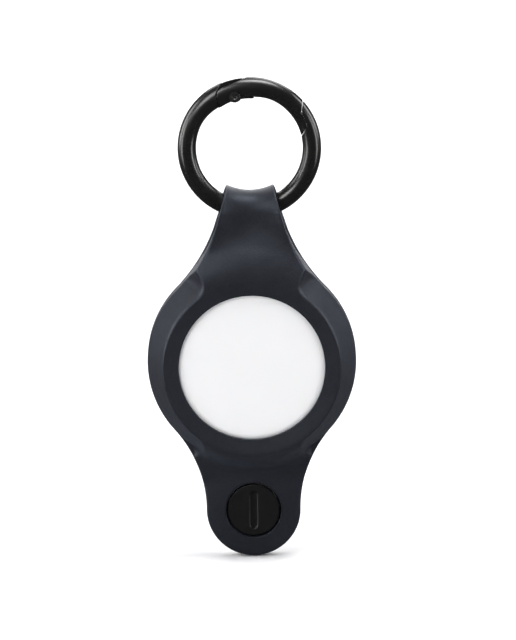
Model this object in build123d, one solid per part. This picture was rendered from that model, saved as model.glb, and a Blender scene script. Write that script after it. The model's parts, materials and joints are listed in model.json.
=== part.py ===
from build123d import *
import math
import os

# Bluetooth tracker tag: a white tracker disc held in a folded silicone holder,
# which hangs from a spring-gate key ring and is closed by a coin-slot lock screw.
# Millimetres. The origin is the centre of the key ring, +Z is up, -Y is the front.

# ---- driving dimensions: key ring ----
RING_INNER_DIAMETER = 20.0
RING_WIRE = 3.5
RING_SWELL = 0.6            # extra radial thickness of the wire at the gate hinge
SWELL_ANGLE = 108.0         # where the swelling peaks, degrees from +X towards +Z
SWELL_HALF_SPAN = 50.0
SWELL_SECTIONS = 11
HINGE_ANGLE = 105.0
HINGE_INSET = 1.42          # rivet axis, inwards from the middle of the wire
KNUCKLE_RADIUS = 3.35       # rounded hinge end of the gate, about the rivet
TONGUE_MARGIN = 0.3         # how far the fixed tongue reaches beyond the knuckle
CHEEK_HEIGHT = 2.38         # flat on top of the gate's cheeks, from the rivet's axis
CHEEK_SLOPE = 22.5          # of that flat, rising to the right
TONGUE_FRONT = -0.70
TONGUE_BACK = -0.12
SLOT_HALF_WIDTH = 0.75      # slot in the gate for the tongue and the spring
NOSE_SHORT_SHARE = 1.094    # gate length from the rivet over the wire's circle, outer edge
NOSE_LONG_SHARE = 1.238     # the same at its inner nose
NOSE_STEP_ANGLE = -66.0     # direction of the step between the two, in the ring's plane
NOSE_STEP_PLACE = 31.8      # where on the wire's circle the step is, degrees from +X
GATE_CLEARANCE = 0.10
RIVET_RADIUS = 0.60
RIVET_HEAD_RADIUS = 1.05
RIVET_HEAD_THICKNESS = 0.30
RIVET_HEAD_FACE = 1.60      # half length of the rivet over its heads
RIVET_CLEARANCE = 0.05
SPRING_WIRE = 0.30
SPRING_COIL_RADIUS = 1.28
SPRING_TURNS = 1
SPRING_PITCH = 0.33
SPRING_TONGUE_GAP = 0.12
SPRING_LEG = 1.7

# ---- driving dimensions: silicone holder ----
STRAP_THICKNESS = 1.8
LOOP_CLEARANCE = 0.20       # between the ring wire and the fold
FOLD_HALF_WIDTH = 5.75      # beside the ring wire
FOLD_TAPER = 1.3            # how much narrower the fold is at its top, each side
FOLD_SECTIONS = 9
NECK_LENGTH = 9.4           # from the rim's top to the fold's axis
NECK_FLARE = 13.0           # slope of the neck's edges where they leave the fold
RIM_WALL = 3.65             # from the tracker's pocket to the rim
RIM_FRONT = -0.3            # front of the rim's straight wall
CREST_OUTSIDE = 0.8         # where the side facets start, outside the tracker
FRONT_WALL = 0.85           # the front's thickness over the tracker
WAIST_HALF_WIDTH = 9.0      # flat front band between the two side facets
FACET_STOP = 4.7            # where the facets begin to run out, inside the rim
FACET_END = (1.5, 1.0)      # where they end, outside the waist and inside the rim
NECK_SLOPE_TOP = 4.3        # where the front meets the neck, outside the rim
NECK_SLOPE_FOOT = 0.3       # where it starts to fall
TAB_SLOPE_TOP = 2.2         # where the front starts to fall to the tab, inside the rim
TAB_SLOPE_LENGTH = 3.1
TAB_LENGTH = 9.0            # from the rim's bottom to the lock's axis
TAB_RADIUS = 8.9
TAB_TOTAL_THICKNESS = 4.2
WINDOW_INSIDE = 2.2         # the window's edge, inside the tracker's
WINDOW_LIP_DEPTH = 0.5      # dish around the front window
DISH_GAP = 0.35             # between the dish and the facets
REAR_JOIN_TOP = 3.1         # where the straps part, outside the rim
REAR_JOIN_BOTTOM = 1.1      # where that slope ends, inside the rim
PANEL_GAP = 0.15            # between the front moulding and the back panel
FOLD_STRAIGHT = 1.8         # the fold's curved section, carried straight down
FOLD_END_DROP = 4.5         # back end of the fold, below its axis
FOLD_END_GAP = 0.2

# ---- driving dimensions: tracker ----
TRACKER_DIAMETER = 31.9
TRACKER_THICKNESS = 8.0
TRACKER_REAR_GAP = 0.05
POCKET_CLEARANCE = 0.10
SHELL_WALL = 0.9
SHELL_DOME_DROP = 0.25
SHELL_SHOULDER_WIDTH = 3.15
SHELL_SHOULDER = 2.9        # depth of the rounded shoulder, from the dome's apex
SHELL_REAR_EDGE = 2.95      # from the tracker's rear face
COVER_STEP = 0.25           # the cover's edge, inside the shell's
COVER_WALL = 0.4
COVER_EDGE_ROUND = 1.2
COVER_RIM_DEPTH = 2.8
COVER_LUG_DEPTH = 0.9
COVER_LUG_HEIGHT = 0.5
LUG_SPAN = 20.0
LUG_COUNT = 3
LUG_CLEARANCE = 0.10
CELL_DIAMETER = 20.0
CELL_THICKNESS = 3.2
CELL_COVER_GAP = 0.05
CELL_SIDE_CLEARANCE = 0.15
CONTACT_HEIGHT = 0.5
CONTACT_LEAF = 0.2
CONTACT_LENGTH = 2.4
CONTACT_WIDTH = 1.6
CONTACT_RADIUS = 4.5
FRAME_FLOOR = 0.9
FRAME_WALL = 1.05
FRAME_FLANGE_TOP = 1.15     # flange's front face, behind the floor's front face
FRAME_FLANGE = 1.0
FRAME_SIDE_GAP = 0.05
HOOK_THICKNESS = 0.5
POST_WALL = 0.8
WELD = 0.1                  # how far joined pieces run into each other
BOARD_THICKNESS = 0.7
BOARD_BORE_GAP = 0.4        # between the board's hole and the magnet's yoke
BOARD_SHELL_GAP = 1.65      # between the board and the shell's wall
BOARD_NOTCH = (1.2, 2.4)
YOKE_RADIUS = 7.2
YOKE_THICKNESS = 0.5
YOKE_WALL = 0.6
YOKE_WALL_HEIGHT = 0.9
MAGNET_RADIUS = 4.9
MAGNET_THICKNESS = 1.2
COIL_INNER_RADIUS = 5.4
COIL_OUTER_RADIUS = 6.2
COIL_HEIGHT = 1.0
COIL_SEAT = 0.15            # coil's front edge behind the middle of the shell's inside
ANTENNA_SHELL_GAP = 0.45    # between the antenna's carrier and the shell's wall
ANTENNA_WIDTH = 1.0
ANTENNA_STRIP_THICKNESS = 0.1
ANTENNA_STRIP_MARGIN = 0.2
GASKET_HEIGHT = 0.5

# ---- driving dimensions: lock ----
LOCK_HOLE_CLEARANCE = 0.35
LOCK_HEAD_RADIUS = 4.9
LOCK_HEAD_THICKNESS = 0.8
LOCK_RECESS = 0.4           # lock head below the tab's front face
LOCK_SLOT_LENGTH = 7.0
LOCK_SLOT_WIDTH = 1.3
LOCK_SLOT_DEPTH = 0.5
LOCK_SLOT_BEVEL = 0.25
WASHER_THICKNESS = 0.3
WASHER_SEAT_GAP = 0.02
LOCK_SHANK_RADIUS = 1.6
LOCK_SHANK_TIP_GAP = 0.45   # shank tip in front of the nut's rear face
THREAD_CLEARANCE = 0.15     # the thread is left plain
NUT_FLANGE_RADIUS = 4.5
NUT_FLANGE_THICKNESS = 0.8
NUT_BARREL_RADIUS = 2.6
NUT_BORE_FLOOR = 0.3
NUT_HOLE_CLEARANCE = 0.05
BARREL_TIP_GAP = 0.10       # barrel tip behind the washer

# ---- worked out from the above ----
FAR = 60.0
RING_INNER_RADIUS = RING_INNER_DIAMETER / 2
RING_MID_RADIUS = RING_INNER_RADIUS + RING_WIRE / 2
TRACKER_RADIUS = TRACKER_DIAMETER / 2
RIM_RADIUS = TRACKER_RADIUS + POCKET_CLEARANCE + RIM_WALL
CREST_RADIUS = TRACKER_RADIUS + CREST_OUTSIDE
WINDOW_RADIUS = TRACKER_RADIUS - WINDOW_INSIDE
SHELL_DOME_RADIUS = TRACKER_RADIUS - SHELL_SHOULDER_WIDTH
COVER_RADIUS = TRACKER_RADIUS - COVER_STEP
FOLD_TO_TRACKER = NECK_LENGTH + RIM_RADIUS
TRACKER_TO_LOCK = TAB_LENGTH + RIM_RADIUS
FOLD_Z = -RING_MID_RADIUS
TRACKER_Z = FOLD_Z - FOLD_TO_TRACKER
LOCK_Z = TRACKER_Z - TRACKER_TO_LOCK
LOOP_INNER = RING_WIRE / 2 + LOOP_CLEARANCE
LOOP_OUTER = LOOP_INNER + STRAP_THICKNESS
BACK_FACE = LOOP_OUTER
PANEL_INNER = LOOP_INNER
FRONT_REAR = PANEL_INNER - PANEL_GAP
TAB_FRONT = BACK_FACE - TAB_TOTAL_THICKNESS
FOLD_END_Z = FOLD_Z - FOLD_END_DROP
TRACKER_REAR = PANEL_INNER - TRACKER_REAR_GAP
TRACKER_FRONT = TRACKER_REAR - TRACKER_THICKNESS
BULGE_FRONT = TRACKER_FRONT - FRONT_WALL
NECK_TOP = RIM_RADIUS + NECK_SLOPE_TOP
LOCK_HOLE_RADIUS = LOCK_HEAD_RADIUS + LOCK_HOLE_CLEARANCE
TONGUE_REACH = KNUCKLE_RADIUS + TONGUE_MARGIN
HINGE_RADIUS = RING_MID_RADIUS - HINGE_INSET
RIVET_X = HINGE_RADIUS * math.cos(math.radians(HINGE_ANGLE))
RIVET_Z = HINGE_RADIUS * math.sin(math.radians(HINGE_ANGLE))


# ---- helpers: everything flat is drawn in the X-Z plane and given depth along Y ----
def deep(face, front, back):
    """The X-Z face as a solid from y = front to y = back."""
    return Pos(0, back, 0) * extrude(face, back - front, dir=(0, -1, 0))


def disc(x, z, radius, front, back):
    """A round plate about an axis along Y."""
    return deep(Plane.XZ * Pos(x, z) * Circle(radius), front, back)


def ring(x, z, inner, outer, front, back):
    """A flat ring about an axis along Y."""
    return disc(x, z, outer, front, back) - disc(x, z, inner, front, back)


def turned(points, z=TRACKER_Z):
    """A solid turned about the Y line at height z from (radius, y) corners."""
    profile = Plane.XY * Polygon(*points, align=None)
    return Pos(0, 0, z) * revolve(profile, Axis.Y, 360)


def sector(inner, outer, start, span, front, back, z=TRACKER_Z):
    """Part of a flat ring, span degrees wide and centred on the angle start."""
    half = math.radians(span / 2)
    reach = outer / math.cos(half) + 1
    wedge = Polygon(
        (0, 0),
        (reach * math.cos(half), -reach * math.sin(half)),
        (reach * math.cos(half), reach * math.sin(half)),
        align=None,
    )
    face = (Circle(outer) - Circle(inner)) & wedge
    return deep(Plane.XZ * Pos(0, z) * Rot(0, 0, start) * face, front, back)


# ---- key ring ----
def wire_section(angle):
    """The wire's ellipse at one angle round the ring, with its swelling."""
    share = (angle - SWELL_ANGLE) / SWELL_HALF_SPAN
    swell = RING_SWELL * 0.5 * (1 + math.cos(math.pi * min(1, abs(share))))
    middle = RING_MID_RADIUS - swell / 2
    a = math.radians(angle)
    plane = Plane(
        origin=(middle * math.cos(a), 0, middle * math.sin(a)),
        x_dir=(math.cos(a), 0, math.sin(a)),
        z_dir=(-math.sin(a), 0, math.cos(a)),
    )
    return plane * Ellipse((RING_WIRE + swell) / 2, RING_WIRE / 2)


def ring_blank():
    """The whole ring before the gate is cut out of it."""
    start = SWELL_ANGLE - SWELL_HALF_SPAN
    step = 2 * SWELL_HALF_SPAN / (SWELL_SECTIONS - 1)
    swollen = loft([wire_section(start + i * step) for i in range(SWELL_SECTIONS)])
    end = SWELL_ANGLE + SWELL_HALF_SPAN
    axis = Axis((0, 0, 0), (0, -1, 0))
    plain = revolve(wire_section(end), axis, 360 - 2 * SWELL_HALF_SPAN)
    return swollen + plain


def gate_plan(clearance):
    """The gate's outline in the ring's plane, grown by a clearance."""
    knuckle = Pos(RIVET_X, RIVET_Z) * Circle(KNUCKLE_RADIUS + clearance)
    a = math.radians(NOSE_STEP_ANGLE)
    along = (math.cos(a), math.sin(a))
    place = math.radians(NOSE_STEP_PLACE)
    x = RING_MID_RADIUS * math.cos(place) - along[1] * clearance
    z = RING_MID_RADIUS * math.sin(place) + along[0] * clearance
    below_step = Polygon(
        (x - along[0] * FAR, z - along[1] * FAR),
        (x + along[0] * FAR, z + along[1] * FAR),
        (RIVET_X - FAR, z + along[1] * FAR),
        (RIVET_X - FAR, z - along[1] * FAR),
        align=None,
    )
    long_reach = NOSE_LONG_SHARE * RING_MID_RADIUS + clearance
    short_reach = NOSE_SHORT_SHARE * RING_MID_RADIUS + clearance
    long_part = Pos(RIVET_X, RIVET_Z) * Circle(long_reach) & below_step
    short_part = Pos(RIVET_X, RIVET_Z) * Circle(short_reach)
    right_of_rivet = Pos(RIVET_X + FAR / 2, FAR / 2) * Rectangle(FAR, FAR)
    return knuckle + ((long_part + short_part) & right_of_rivet)


def ring_body(blank):
    cut = deep(Plane.XZ * gate_plan(GATE_CLEARANCE), -FAR, FAR)
    tongue = blank & disc(RIVET_X, RIVET_Z, TONGUE_REACH, TONGUE_FRONT, TONGUE_BACK)
    pin_hole = disc(RIVET_X, RIVET_Z, RIVET_RADIUS, -FAR, FAR)
    return (blank - cut) + (tongue - pin_hole)


def above_cheeks():
    """Everything above the flat on the gate's cheeks."""
    flat = Pos(RIVET_X, RIVET_Z) * Rot(0, 0, CHEEK_SLOPE) * Pos(0, CHEEK_HEIGHT + FAR / 2)
    return deep(Plane.XZ * flat * Rectangle(FAR, FAR), -FAR, FAR)


def ring_gate(blank):
    gate = blank & deep(Plane.XZ * gate_plan(0), -FAR, FAR)
    gate = gate - above_cheeks()
    slot_radius = TONGUE_REACH + GATE_CLEARANCE
    slot = disc(RIVET_X, RIVET_Z, slot_radius, -SLOT_HALF_WIDTH, SLOT_HALF_WIDTH)
    pin_hole = disc(RIVET_X, RIVET_Z, RIVET_RADIUS + RIVET_CLEARANCE, -FAR, FAR)
    seat_radius = RIVET_HEAD_RADIUS + RIVET_CLEARANCE
    seat_face = RIVET_HEAD_FACE - RIVET_HEAD_THICKNESS - RIVET_CLEARANCE
    front_seat = disc(RIVET_X, RIVET_Z, seat_radius, -FAR, -seat_face)
    back_seat = disc(RIVET_X, RIVET_Z, seat_radius, seat_face, FAR)
    return gate - slot - pin_hole - front_seat - back_seat


def gate_rivet():
    inside = RIVET_HEAD_FACE - RIVET_HEAD_THICKNESS
    shank = disc(RIVET_X, RIVET_Z, RIVET_RADIUS, -RIVET_HEAD_FACE, RIVET_HEAD_FACE)
    front = disc(RIVET_X, RIVET_Z, RIVET_HEAD_RADIUS, -RIVET_HEAD_FACE, -inside)
    back = disc(RIVET_X, RIVET_Z, RIVET_HEAD_RADIUS, inside, RIVET_HEAD_FACE)
    return shank + front + back


def gate_spring():
    """A torsion spring round the rivet, beside the tongue, with two straight legs."""
    start_y = TONGUE_BACK + SPRING_WIRE / 2 + SPRING_TONGUE_GAP
    spine = Helix(SPRING_PITCH, SPRING_PITCH * SPRING_TURNS, SPRING_COIL_RADIUS)
    coil = sweep(Plane(spine @ 0, z_dir=spine % 0) * Circle(SPRING_WIRE / 2), spine)
    for end in (0, 1):
        outward = (spine % end) * (2 * end - 1)
        leg = extrude(Plane(spine @ end, z_dir=outward) * Circle(SPRING_WIRE / 2), SPRING_LEG)
        coil = coil + leg
    upright = Pos(RIVET_X, start_y, RIVET_Z) * Rot(-90, 0, 0)
    return upright * Rot(0, 0, -90) * coil


# ---- silicone holder ----
def flare_arc():
    """Centre, radius and rim point of the arc from the fold's edge to the round rim."""
    flare = math.radians(NECK_FLARE)
    out = (math.cos(flare), math.sin(flare))
    start = (FOLD_HALF_WIDTH, FOLD_TO_TRACKER)
    square = start[0] ** 2 + start[1] ** 2 - RIM_RADIUS**2
    radius = square / (2 * (RIM_RADIUS - start[0] * out[0] - start[1] * out[1]))
    centre = (start[0] + radius * out[0], start[1] + radius * out[1])
    share = RIM_RADIUS / (RIM_RADIUS + radius)
    return centre, radius, (centre[0] * share, centre[1] * share)


def waist_arc():
    """Centre, radius and rim point of the arc from the round rim to the tab."""
    square = TAB_RADIUS**2 + TRACKER_TO_LOCK**2 - RIM_RADIUS**2
    radius = square / (2 * (RIM_RADIUS - TAB_RADIUS))
    centre = (TAB_RADIUS + radius, -TRACKER_TO_LOCK)
    share = RIM_RADIUS / (RIM_RADIUS + radius)
    return centre, radius, (centre[0] * share, centre[1] * share)


def arc_middle(centre, radius, a, b):
    """The middle of the arc from a to b, on the side nearest the tracker's axis line."""
    x = (a[0] + b[0]) / 2 - centre[0]
    z = (a[1] + b[1]) / 2 - centre[1]
    length = math.hypot(x, z)
    return (centre[0] + radius * x / length, centre[1] + radius * z / length)


def neck_half_width(z):
    """Half width of the holder on the flare, at a height above the tracker's axis."""
    centre, radius, _ = flare_arc()
    return centre[0] - math.sqrt(radius**2 - (z - centre[1]) ** 2)


def outline():
    """The holder's front view, with the tracker's axis at the sketch's origin."""
    top = (FOLD_HALF_WIDTH, FOLD_TO_TRACKER)
    tab = (TAB_RADIUS, -TRACKER_TO_LOCK)
    centre, radius, shoulder = flare_arc()
    flare = ThreePointArc(top, arc_middle(centre, radius, top, shoulder), shoulder)
    centre, radius, hip = waist_arc()
    rim = ThreePointArc(shoulder, (RIM_RADIUS, 0), hip)
    waist = ThreePointArc(hip, arc_middle(centre, radius, hip, tab), tab)
    half = [flare, rim, waist]
    other = [edge.mirror(Plane.YZ) for edge in half]
    end = ThreePointArc(tab, (0, -TRACKER_TO_LOCK - TAB_RADIUS), (-tab[0], tab[1]))
    lid = Line(top, (-top[0], top[1]))
    return make_face(half + other + [end, lid])


def rear_view():
    """The room in front of the front moulding's rear, seen from +X, as (y, height above
    the tracker's axis) corners."""
    bottom = -TRACKER_TO_LOCK - TAB_RADIUS - 1
    points = [
        (-FAR, FOLD_TO_TRACKER),
        (-FAR, bottom),
        (FRONT_REAR, bottom),
        (FRONT_REAR, RIM_RADIUS - REAR_JOIN_BOTTOM),
        (-LOOP_INNER, RIM_RADIUS + REAR_JOIN_TOP),
        (-LOOP_INNER, FOLD_TO_TRACKER),
    ]
    return Polygon(*points, align=None)


def bulge_side(start, end, level):
    """Everything behind a front that is level to start and then falls to level at end."""
    return turned(
        [
            (0, BULGE_FRONT),
            (start, BULGE_FRONT),
            (end, level),
            (FAR, level),
            (FAR, BACK_FACE),
            (0, BACK_FACE),
        ]
    )


def bulge():
    """The raised front about the tracker, which slopes down to the neck and to the tab."""
    above = bulge_side(RIM_RADIUS + NECK_SLOPE_FOOT, NECK_TOP, -LOOP_OUTER)
    tab_start = RIM_RADIUS - TAB_SLOPE_TOP
    below = bulge_side(tab_start, tab_start + TAB_SLOPE_LENGTH, TAB_FRONT)
    upper = Pos(0, 0, TRACKER_Z + FAR) * Box(4 * FAR, 4 * FAR, 2 * FAR)
    return (above & upper) + (below - upper)


def facet_cut():
    """What the two sloping side facets take off the front of the rim."""
    stop = (WAIST_HALF_WIDTH, RIM_RADIUS - FACET_STOP)
    end = (WAIST_HALF_WIDTH + FACET_END[0], RIM_RADIUS - FACET_END[1])
    plan = Polygon(
        (stop[0], -stop[1]),
        stop,
        end,
        (FAR, end[1] + FAR / 2),
        (FAR, -end[1] - FAR / 2),
        (end[0], -end[1]),
        align=None,
    )
    plans = plan + plan.mirror(Plane.YZ)
    block = deep(Plane.XZ * Pos(0, TRACKER_Z) * plans, BULGE_FRONT - 1, RIM_FRONT)
    slope = (RIM_RADIUS - CREST_RADIUS) / (RIM_FRONT - BULGE_FRONT)
    cone = turned(
        [
            (0, BULGE_FRONT - 2),
            (CREST_RADIUS - 2 * slope, BULGE_FRONT - 2),
            (RIM_RADIUS, RIM_FRONT),
            (FAR, RIM_FRONT),
            (FAR, RIM_FRONT + 1),
            (0, RIM_FRONT + 1),
        ]
    )
    return block - cone


def fold_band(angle):
    """The fold's cross-section at an angle round its axis: 0 in front, 90 above, 180 behind.
    Its edges follow the ring's inner circle, and it narrows towards the top."""
    w = FOLD_HALF_WIDTH - FOLD_TAPER * math.sin(math.radians(angle))
    edge = RING_MID_RADIUS - math.sqrt(RING_INNER_RADIUS**2 - w**2)
    inner_edge = edge + LOOP_CLEARANCE
    outer_edge = inner_edge + STRAP_THICKNESS
    lines = [
        ThreePointArc((-w, -outer_edge), (0, -LOOP_OUTER), (w, -outer_edge)),
        Line((w, -outer_edge), (w, -inner_edge)),
        ThreePointArc((w, -inner_edge), (0, -LOOP_INNER), (-w, -inner_edge)),
        Line((-w, -inner_edge), (-w, -outer_edge)),
    ]
    return Pos(0, 0, FOLD_Z) * Rot(-angle, 0, 0) * make_face(lines)


def strap_section(z, front):
    """A flat rectangular cross-section of the front or back strap."""
    width = 2 * neck_half_width(z - TRACKER_Z)
    middle = (LOOP_INNER + LOOP_OUTER) / 2 * (-1 if front else 1)
    return Pos(0, middle, z) * Rectangle(width, STRAP_THICKNESS)


def fold():
    """The strap's fold over the ring wire, with its run-outs to the flat straps."""
    step = 180 / (FOLD_SECTIONS - 1)
    over = loft([fold_band(i * step) for i in range(FOLD_SECTIONS)])
    down = Pos(0, 0, -FOLD_STRAIGHT)
    sides = [extrude(fold_band(a), FOLD_STRAIGHT, dir=(0, 0, -1)) for a in (0, 180)]
    front = loft([down * fold_band(0), strap_section(TRACKER_Z + NECK_TOP, True)])
    back = loft([down * fold_band(180), strap_section(FOLD_END_Z, False)])
    return over + sides[0] + sides[1] + front + back


def tracker_profile(grow):
    """The whole tracker's half section, grown all round, as (radius, y) corners."""
    front = TRACKER_FRONT - grow
    shoulder = TRACKER_FRONT + SHELL_SHOULDER
    centre = SHELL_DOME_RADIUS
    width = TRACKER_RADIUS - SHELL_DOME_RADIUS
    height = SHELL_SHOULDER - SHELL_DOME_DROP
    points = [(0, front)]
    for step in range(7):
        a = math.radians(15 * step)
        radius = centre + (width + grow) * math.sin(a)
        points.append((radius, shoulder - (height + grow) * math.cos(a)))
    return points


def pocket():
    """The room for the tracker in the front moulding, open to the rear."""
    side = TRACKER_RADIUS + POCKET_CLEARANCE
    points = tracker_profile(POCKET_CLEARANCE)
    return turned(points + [(side, FRONT_REAR + 1), (0, FRONT_REAR + 1)])


def dish():
    """The shallow cone that leads in to the front window."""
    edge = CREST_RADIUS - DISH_GAP
    return turned(
        [
            (0, BULGE_FRONT - 1),
            (edge, BULGE_FRONT - 1),
            (edge, BULGE_FRONT),
            (WINDOW_RADIUS, BULGE_FRONT + WINDOW_LIP_DEPTH),
            (0, BULGE_FRONT + WINDOW_LIP_DEPTH),
        ]
    )


def holder_front():
    view = deep(Plane.XZ * Pos(0, TRACKER_Z) * outline(), -FAR, FAR)
    rear = extrude(Plane.YZ * Pos(0, TRACKER_Z) * rear_view(), FAR, both=True)
    below_neck = Pos(0, 0, TRACKER_Z + NECK_TOP - FAR) * Box(2 * FAR, 2 * FAR, 2 * FAR)
    body = (view & rear & below_neck & bulge()) - facet_cut()
    window = disc(0, TRACKER_Z, WINDOW_RADIUS, BULGE_FRONT - 1, TRACKER_REAR)
    body = body - pocket() - dish() - window
    seat = TAB_FRONT + LOCK_RECESS + LOCK_HEAD_THICKNESS + WASHER_THICKNESS
    seat = seat + 2 * WASHER_SEAT_GAP
    counterbore = disc(0, LOCK_Z, LOCK_HOLE_RADIUS, TAB_FRONT - 1, seat)
    barrel_hole = NUT_BARREL_RADIUS + 2 * THREAD_CLEARANCE
    through = disc(0, LOCK_Z, barrel_hole, TAB_FRONT - 1, FRONT_REAR + 1)
    return body + fold() - counterbore - through


def holder_back():
    view = deep(Plane.XZ * Pos(0, TRACKER_Z) * outline(), PANEL_INNER, BACK_FACE)
    top = FOLD_END_Z - FOLD_END_GAP
    below_fold = Pos(0, 0, top - FAR) * Box(2 * FAR, 2 * FAR, 2 * FAR)
    window = disc(0, TRACKER_Z, WINDOW_RADIUS, -FAR, FAR)
    barrel_hole = disc(0, LOCK_Z, NUT_BARREL_RADIUS + NUT_HOLE_CLEARANCE, -FAR, FAR)
    flange_radius = NUT_FLANGE_RADIUS + NUT_HOLE_CLEARANCE
    flange_seat = disc(0, LOCK_Z, flange_radius, BACK_FACE - NUT_FLANGE_THICKNESS, FAR)
    return (view & below_fold) - window - barrel_hole - flange_seat


# ---- lock ----
def slot_cut(grow, floor):
    """An upright round-ended slot from in front of the lock to a floor."""
    plan = SlotOverall(LOCK_SLOT_LENGTH + 2 * grow, LOCK_SLOT_WIDTH + 2 * grow)
    return deep(Plane.XZ * Pos(0, LOCK_Z) * Rot(0, 0, 90) * plan, -FAR, floor)


def lock_screw():
    front = TAB_FRONT + LOCK_RECESS
    back = front + LOCK_HEAD_THICKNESS
    tip = BACK_FACE - LOCK_SHANK_TIP_GAP
    head = disc(0, LOCK_Z, LOCK_HEAD_RADIUS, front, back)
    shank = disc(0, LOCK_Z, LOCK_SHANK_RADIUS, back, tip)
    slot = slot_cut(0, front + LOCK_SLOT_DEPTH)
    bevel = slot_cut(LOCK_SLOT_BEVEL, front + LOCK_SLOT_BEVEL / 2)
    return head + shank - slot - bevel


def washer_front():
    return TAB_FRONT + LOCK_RECESS + LOCK_HEAD_THICKNESS + WASHER_SEAT_GAP


def lock_washer():
    front = washer_front()
    hole = LOCK_SHANK_RADIUS + RIVET_CLEARANCE
    return ring(0, LOCK_Z, hole, LOCK_HEAD_RADIUS, front, front + WASHER_THICKNESS)


def lock_nut():
    flange = disc(0, LOCK_Z, NUT_FLANGE_RADIUS, BACK_FACE - NUT_FLANGE_THICKNESS, BACK_FACE)
    tip = washer_front() + WASHER_THICKNESS + BARREL_TIP_GAP
    barrel = disc(0, LOCK_Z, NUT_BARREL_RADIUS, tip, BACK_FACE - NUT_FLANGE_THICKNESS)
    bore_radius = LOCK_SHANK_RADIUS + THREAD_CLEARANCE
    bore = disc(0, LOCK_Z, bore_radius, tip - 1, BACK_FACE - NUT_BORE_FLOOR)
    return flange + barrel - bore


# ---- tracker: heights of its inner layers, front to back ----
SHELL_INSIDE = TRACKER_FRONT + SHELL_WALL
SHELL_REAR = TRACKER_REAR - SHELL_REAR_EDGE
COVER_INSIDE = TRACKER_REAR - COVER_WALL
COVER_RIM_FRONT = TRACKER_REAR - COVER_RIM_DEPTH
CELL_REAR = COVER_INSIDE - CELL_COVER_GAP
CELL_FRONT = CELL_REAR - CELL_THICKNESS
FLOOR_REAR = CELL_FRONT - CONTACT_HEIGHT
FLOOR_FRONT = FLOOR_REAR - FRAME_FLOOR
FLANGE_FRONT = FLOOR_FRONT + FRAME_FLANGE_TOP
FLANGE_REAR = FLANGE_FRONT + FRAME_FLANGE
CELL_WALL_INNER = CELL_DIAMETER / 2 + CELL_SIDE_CLEARANCE
CELL_WALL_OUTER = CELL_WALL_INNER + FRAME_WALL
SHELL_BORE = TRACKER_RADIUS - SHELL_WALL
BOARD_FRONT = FLOOR_FRONT - BOARD_THICKNESS
BOARD_INNER_RADIUS = YOKE_RADIUS + BOARD_BORE_GAP
BOARD_OUTER_RADIUS = SHELL_BORE - BOARD_SHELL_GAP
BOARD_MIDDLE = (BOARD_INNER_RADIUS + BOARD_OUTER_RADIUS) / 2
ANTENNA_OUTER_RADIUS = SHELL_BORE - ANTENNA_SHELL_GAP
ANTENNA_INNER_RADIUS = ANTENNA_OUTER_RADIUS - ANTENNA_WIDTH
LUG_ANGLES = [90 + i * 360 / LUG_COUNT for i in range(LUG_COUNT)]


def tracker_shell():
    """The white front shell: a low dome with a rounded shoulder and a short skirt."""
    outer = turned(tracker_profile(0) + [(TRACKER_RADIUS, SHELL_REAR), (0, SHELL_REAR)])
    inner = tracker_profile(-SHELL_WALL)
    room = turned(inner + [(SHELL_BORE, SHELL_REAR + 1), (0, SHELL_REAR + 1)])
    return outer - room


def voice_coil():
    front = SHELL_INSIDE + COIL_SEAT
    return ring(0, TRACKER_Z, COIL_INNER_RADIUS, COIL_OUTER_RADIUS, front, front + COIL_HEIGHT)


def speaker_magnet():
    back = FLOOR_FRONT - YOKE_THICKNESS
    return disc(0, TRACKER_Z, MAGNET_RADIUS, back - MAGNET_THICKNESS, back)


def magnet_yoke():
    back = FLOOR_FRONT - YOKE_THICKNESS
    plate = disc(0, TRACKER_Z, YOKE_RADIUS, back, FLOOR_FRONT)
    wall = ring(0, TRACKER_Z, YOKE_RADIUS - YOKE_WALL, YOKE_RADIUS, back - YOKE_WALL_HEIGHT, back)
    return plate + wall


def circuit_board():
    board = ring(0, TRACKER_Z, BOARD_INNER_RADIUS, BOARD_OUTER_RADIUS, BOARD_FRONT, FLOOR_FRONT)
    for angle in LUG_ANGLES:
        notch = Rot(0, 0, angle) * Pos(BOARD_OUTER_RADIUS, 0) * Rectangle(*BOARD_NOTCH)
        board = board - deep(Plane.XZ * Pos(0, TRACKER_Z) * notch, -FAR, FAR)
    return board


def chip(angle, length, width, height):
    """A rectangular package on the front of the board, squared to its radius."""
    plan = Rot(0, 0, angle) * Pos(BOARD_MIDDLE, 0) * Rectangle(width, length)
    return deep(Plane.XZ * Pos(0, TRACKER_Z) * plan, BOARD_FRONT - height, BOARD_FRONT)


def battery_contact(angle):
    """A bent leaf on the floor of the battery tray: a foot, a riser and a raised tip."""
    place = Plane.XZ * Pos(0, TRACKER_Z) * Rot(0, 0, angle)
    leaf = CONTACT_LEAF
    plate = Rectangle(CONTACT_LENGTH, CONTACT_WIDTH)
    edge = CONTACT_RADIUS + CONTACT_LENGTH / 2
    foot = place * Pos(CONTACT_RADIUS, 0) * plate
    riser = place * Pos(edge, 0) * Rectangle(leaf, CONTACT_WIDTH)
    tip = place * Pos(CONTACT_RADIUS + CONTACT_LENGTH, 0) * plate
    low = deep(foot, FLOOR_REAR, FLOOR_REAR + leaf)
    upright = deep(riser, FLOOR_REAR, CELL_FRONT)
    return low + upright + deep(tip, CELL_FRONT - leaf, CELL_FRONT)


def bayonet_hook(angle):
    """A post on the chassis's flange, with a hook that holds one of the cover's lugs."""
    front = COVER_RIM_FRONT + COVER_LUG_HEIGHT + LUG_CLEARANCE
    reach = COVER_RADIUS - COVER_WALL - LUG_CLEARANCE
    post_outer = reach - COVER_LUG_DEPTH
    inner = post_outer - POST_WALL
    post = sector(inner, post_outer, angle, LUG_SPAN, FLANGE_REAR - WELD, front + WELD)
    hook = sector(inner, reach, angle, LUG_SPAN, front, front + HOOK_THICKNESS)
    return post + hook


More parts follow.
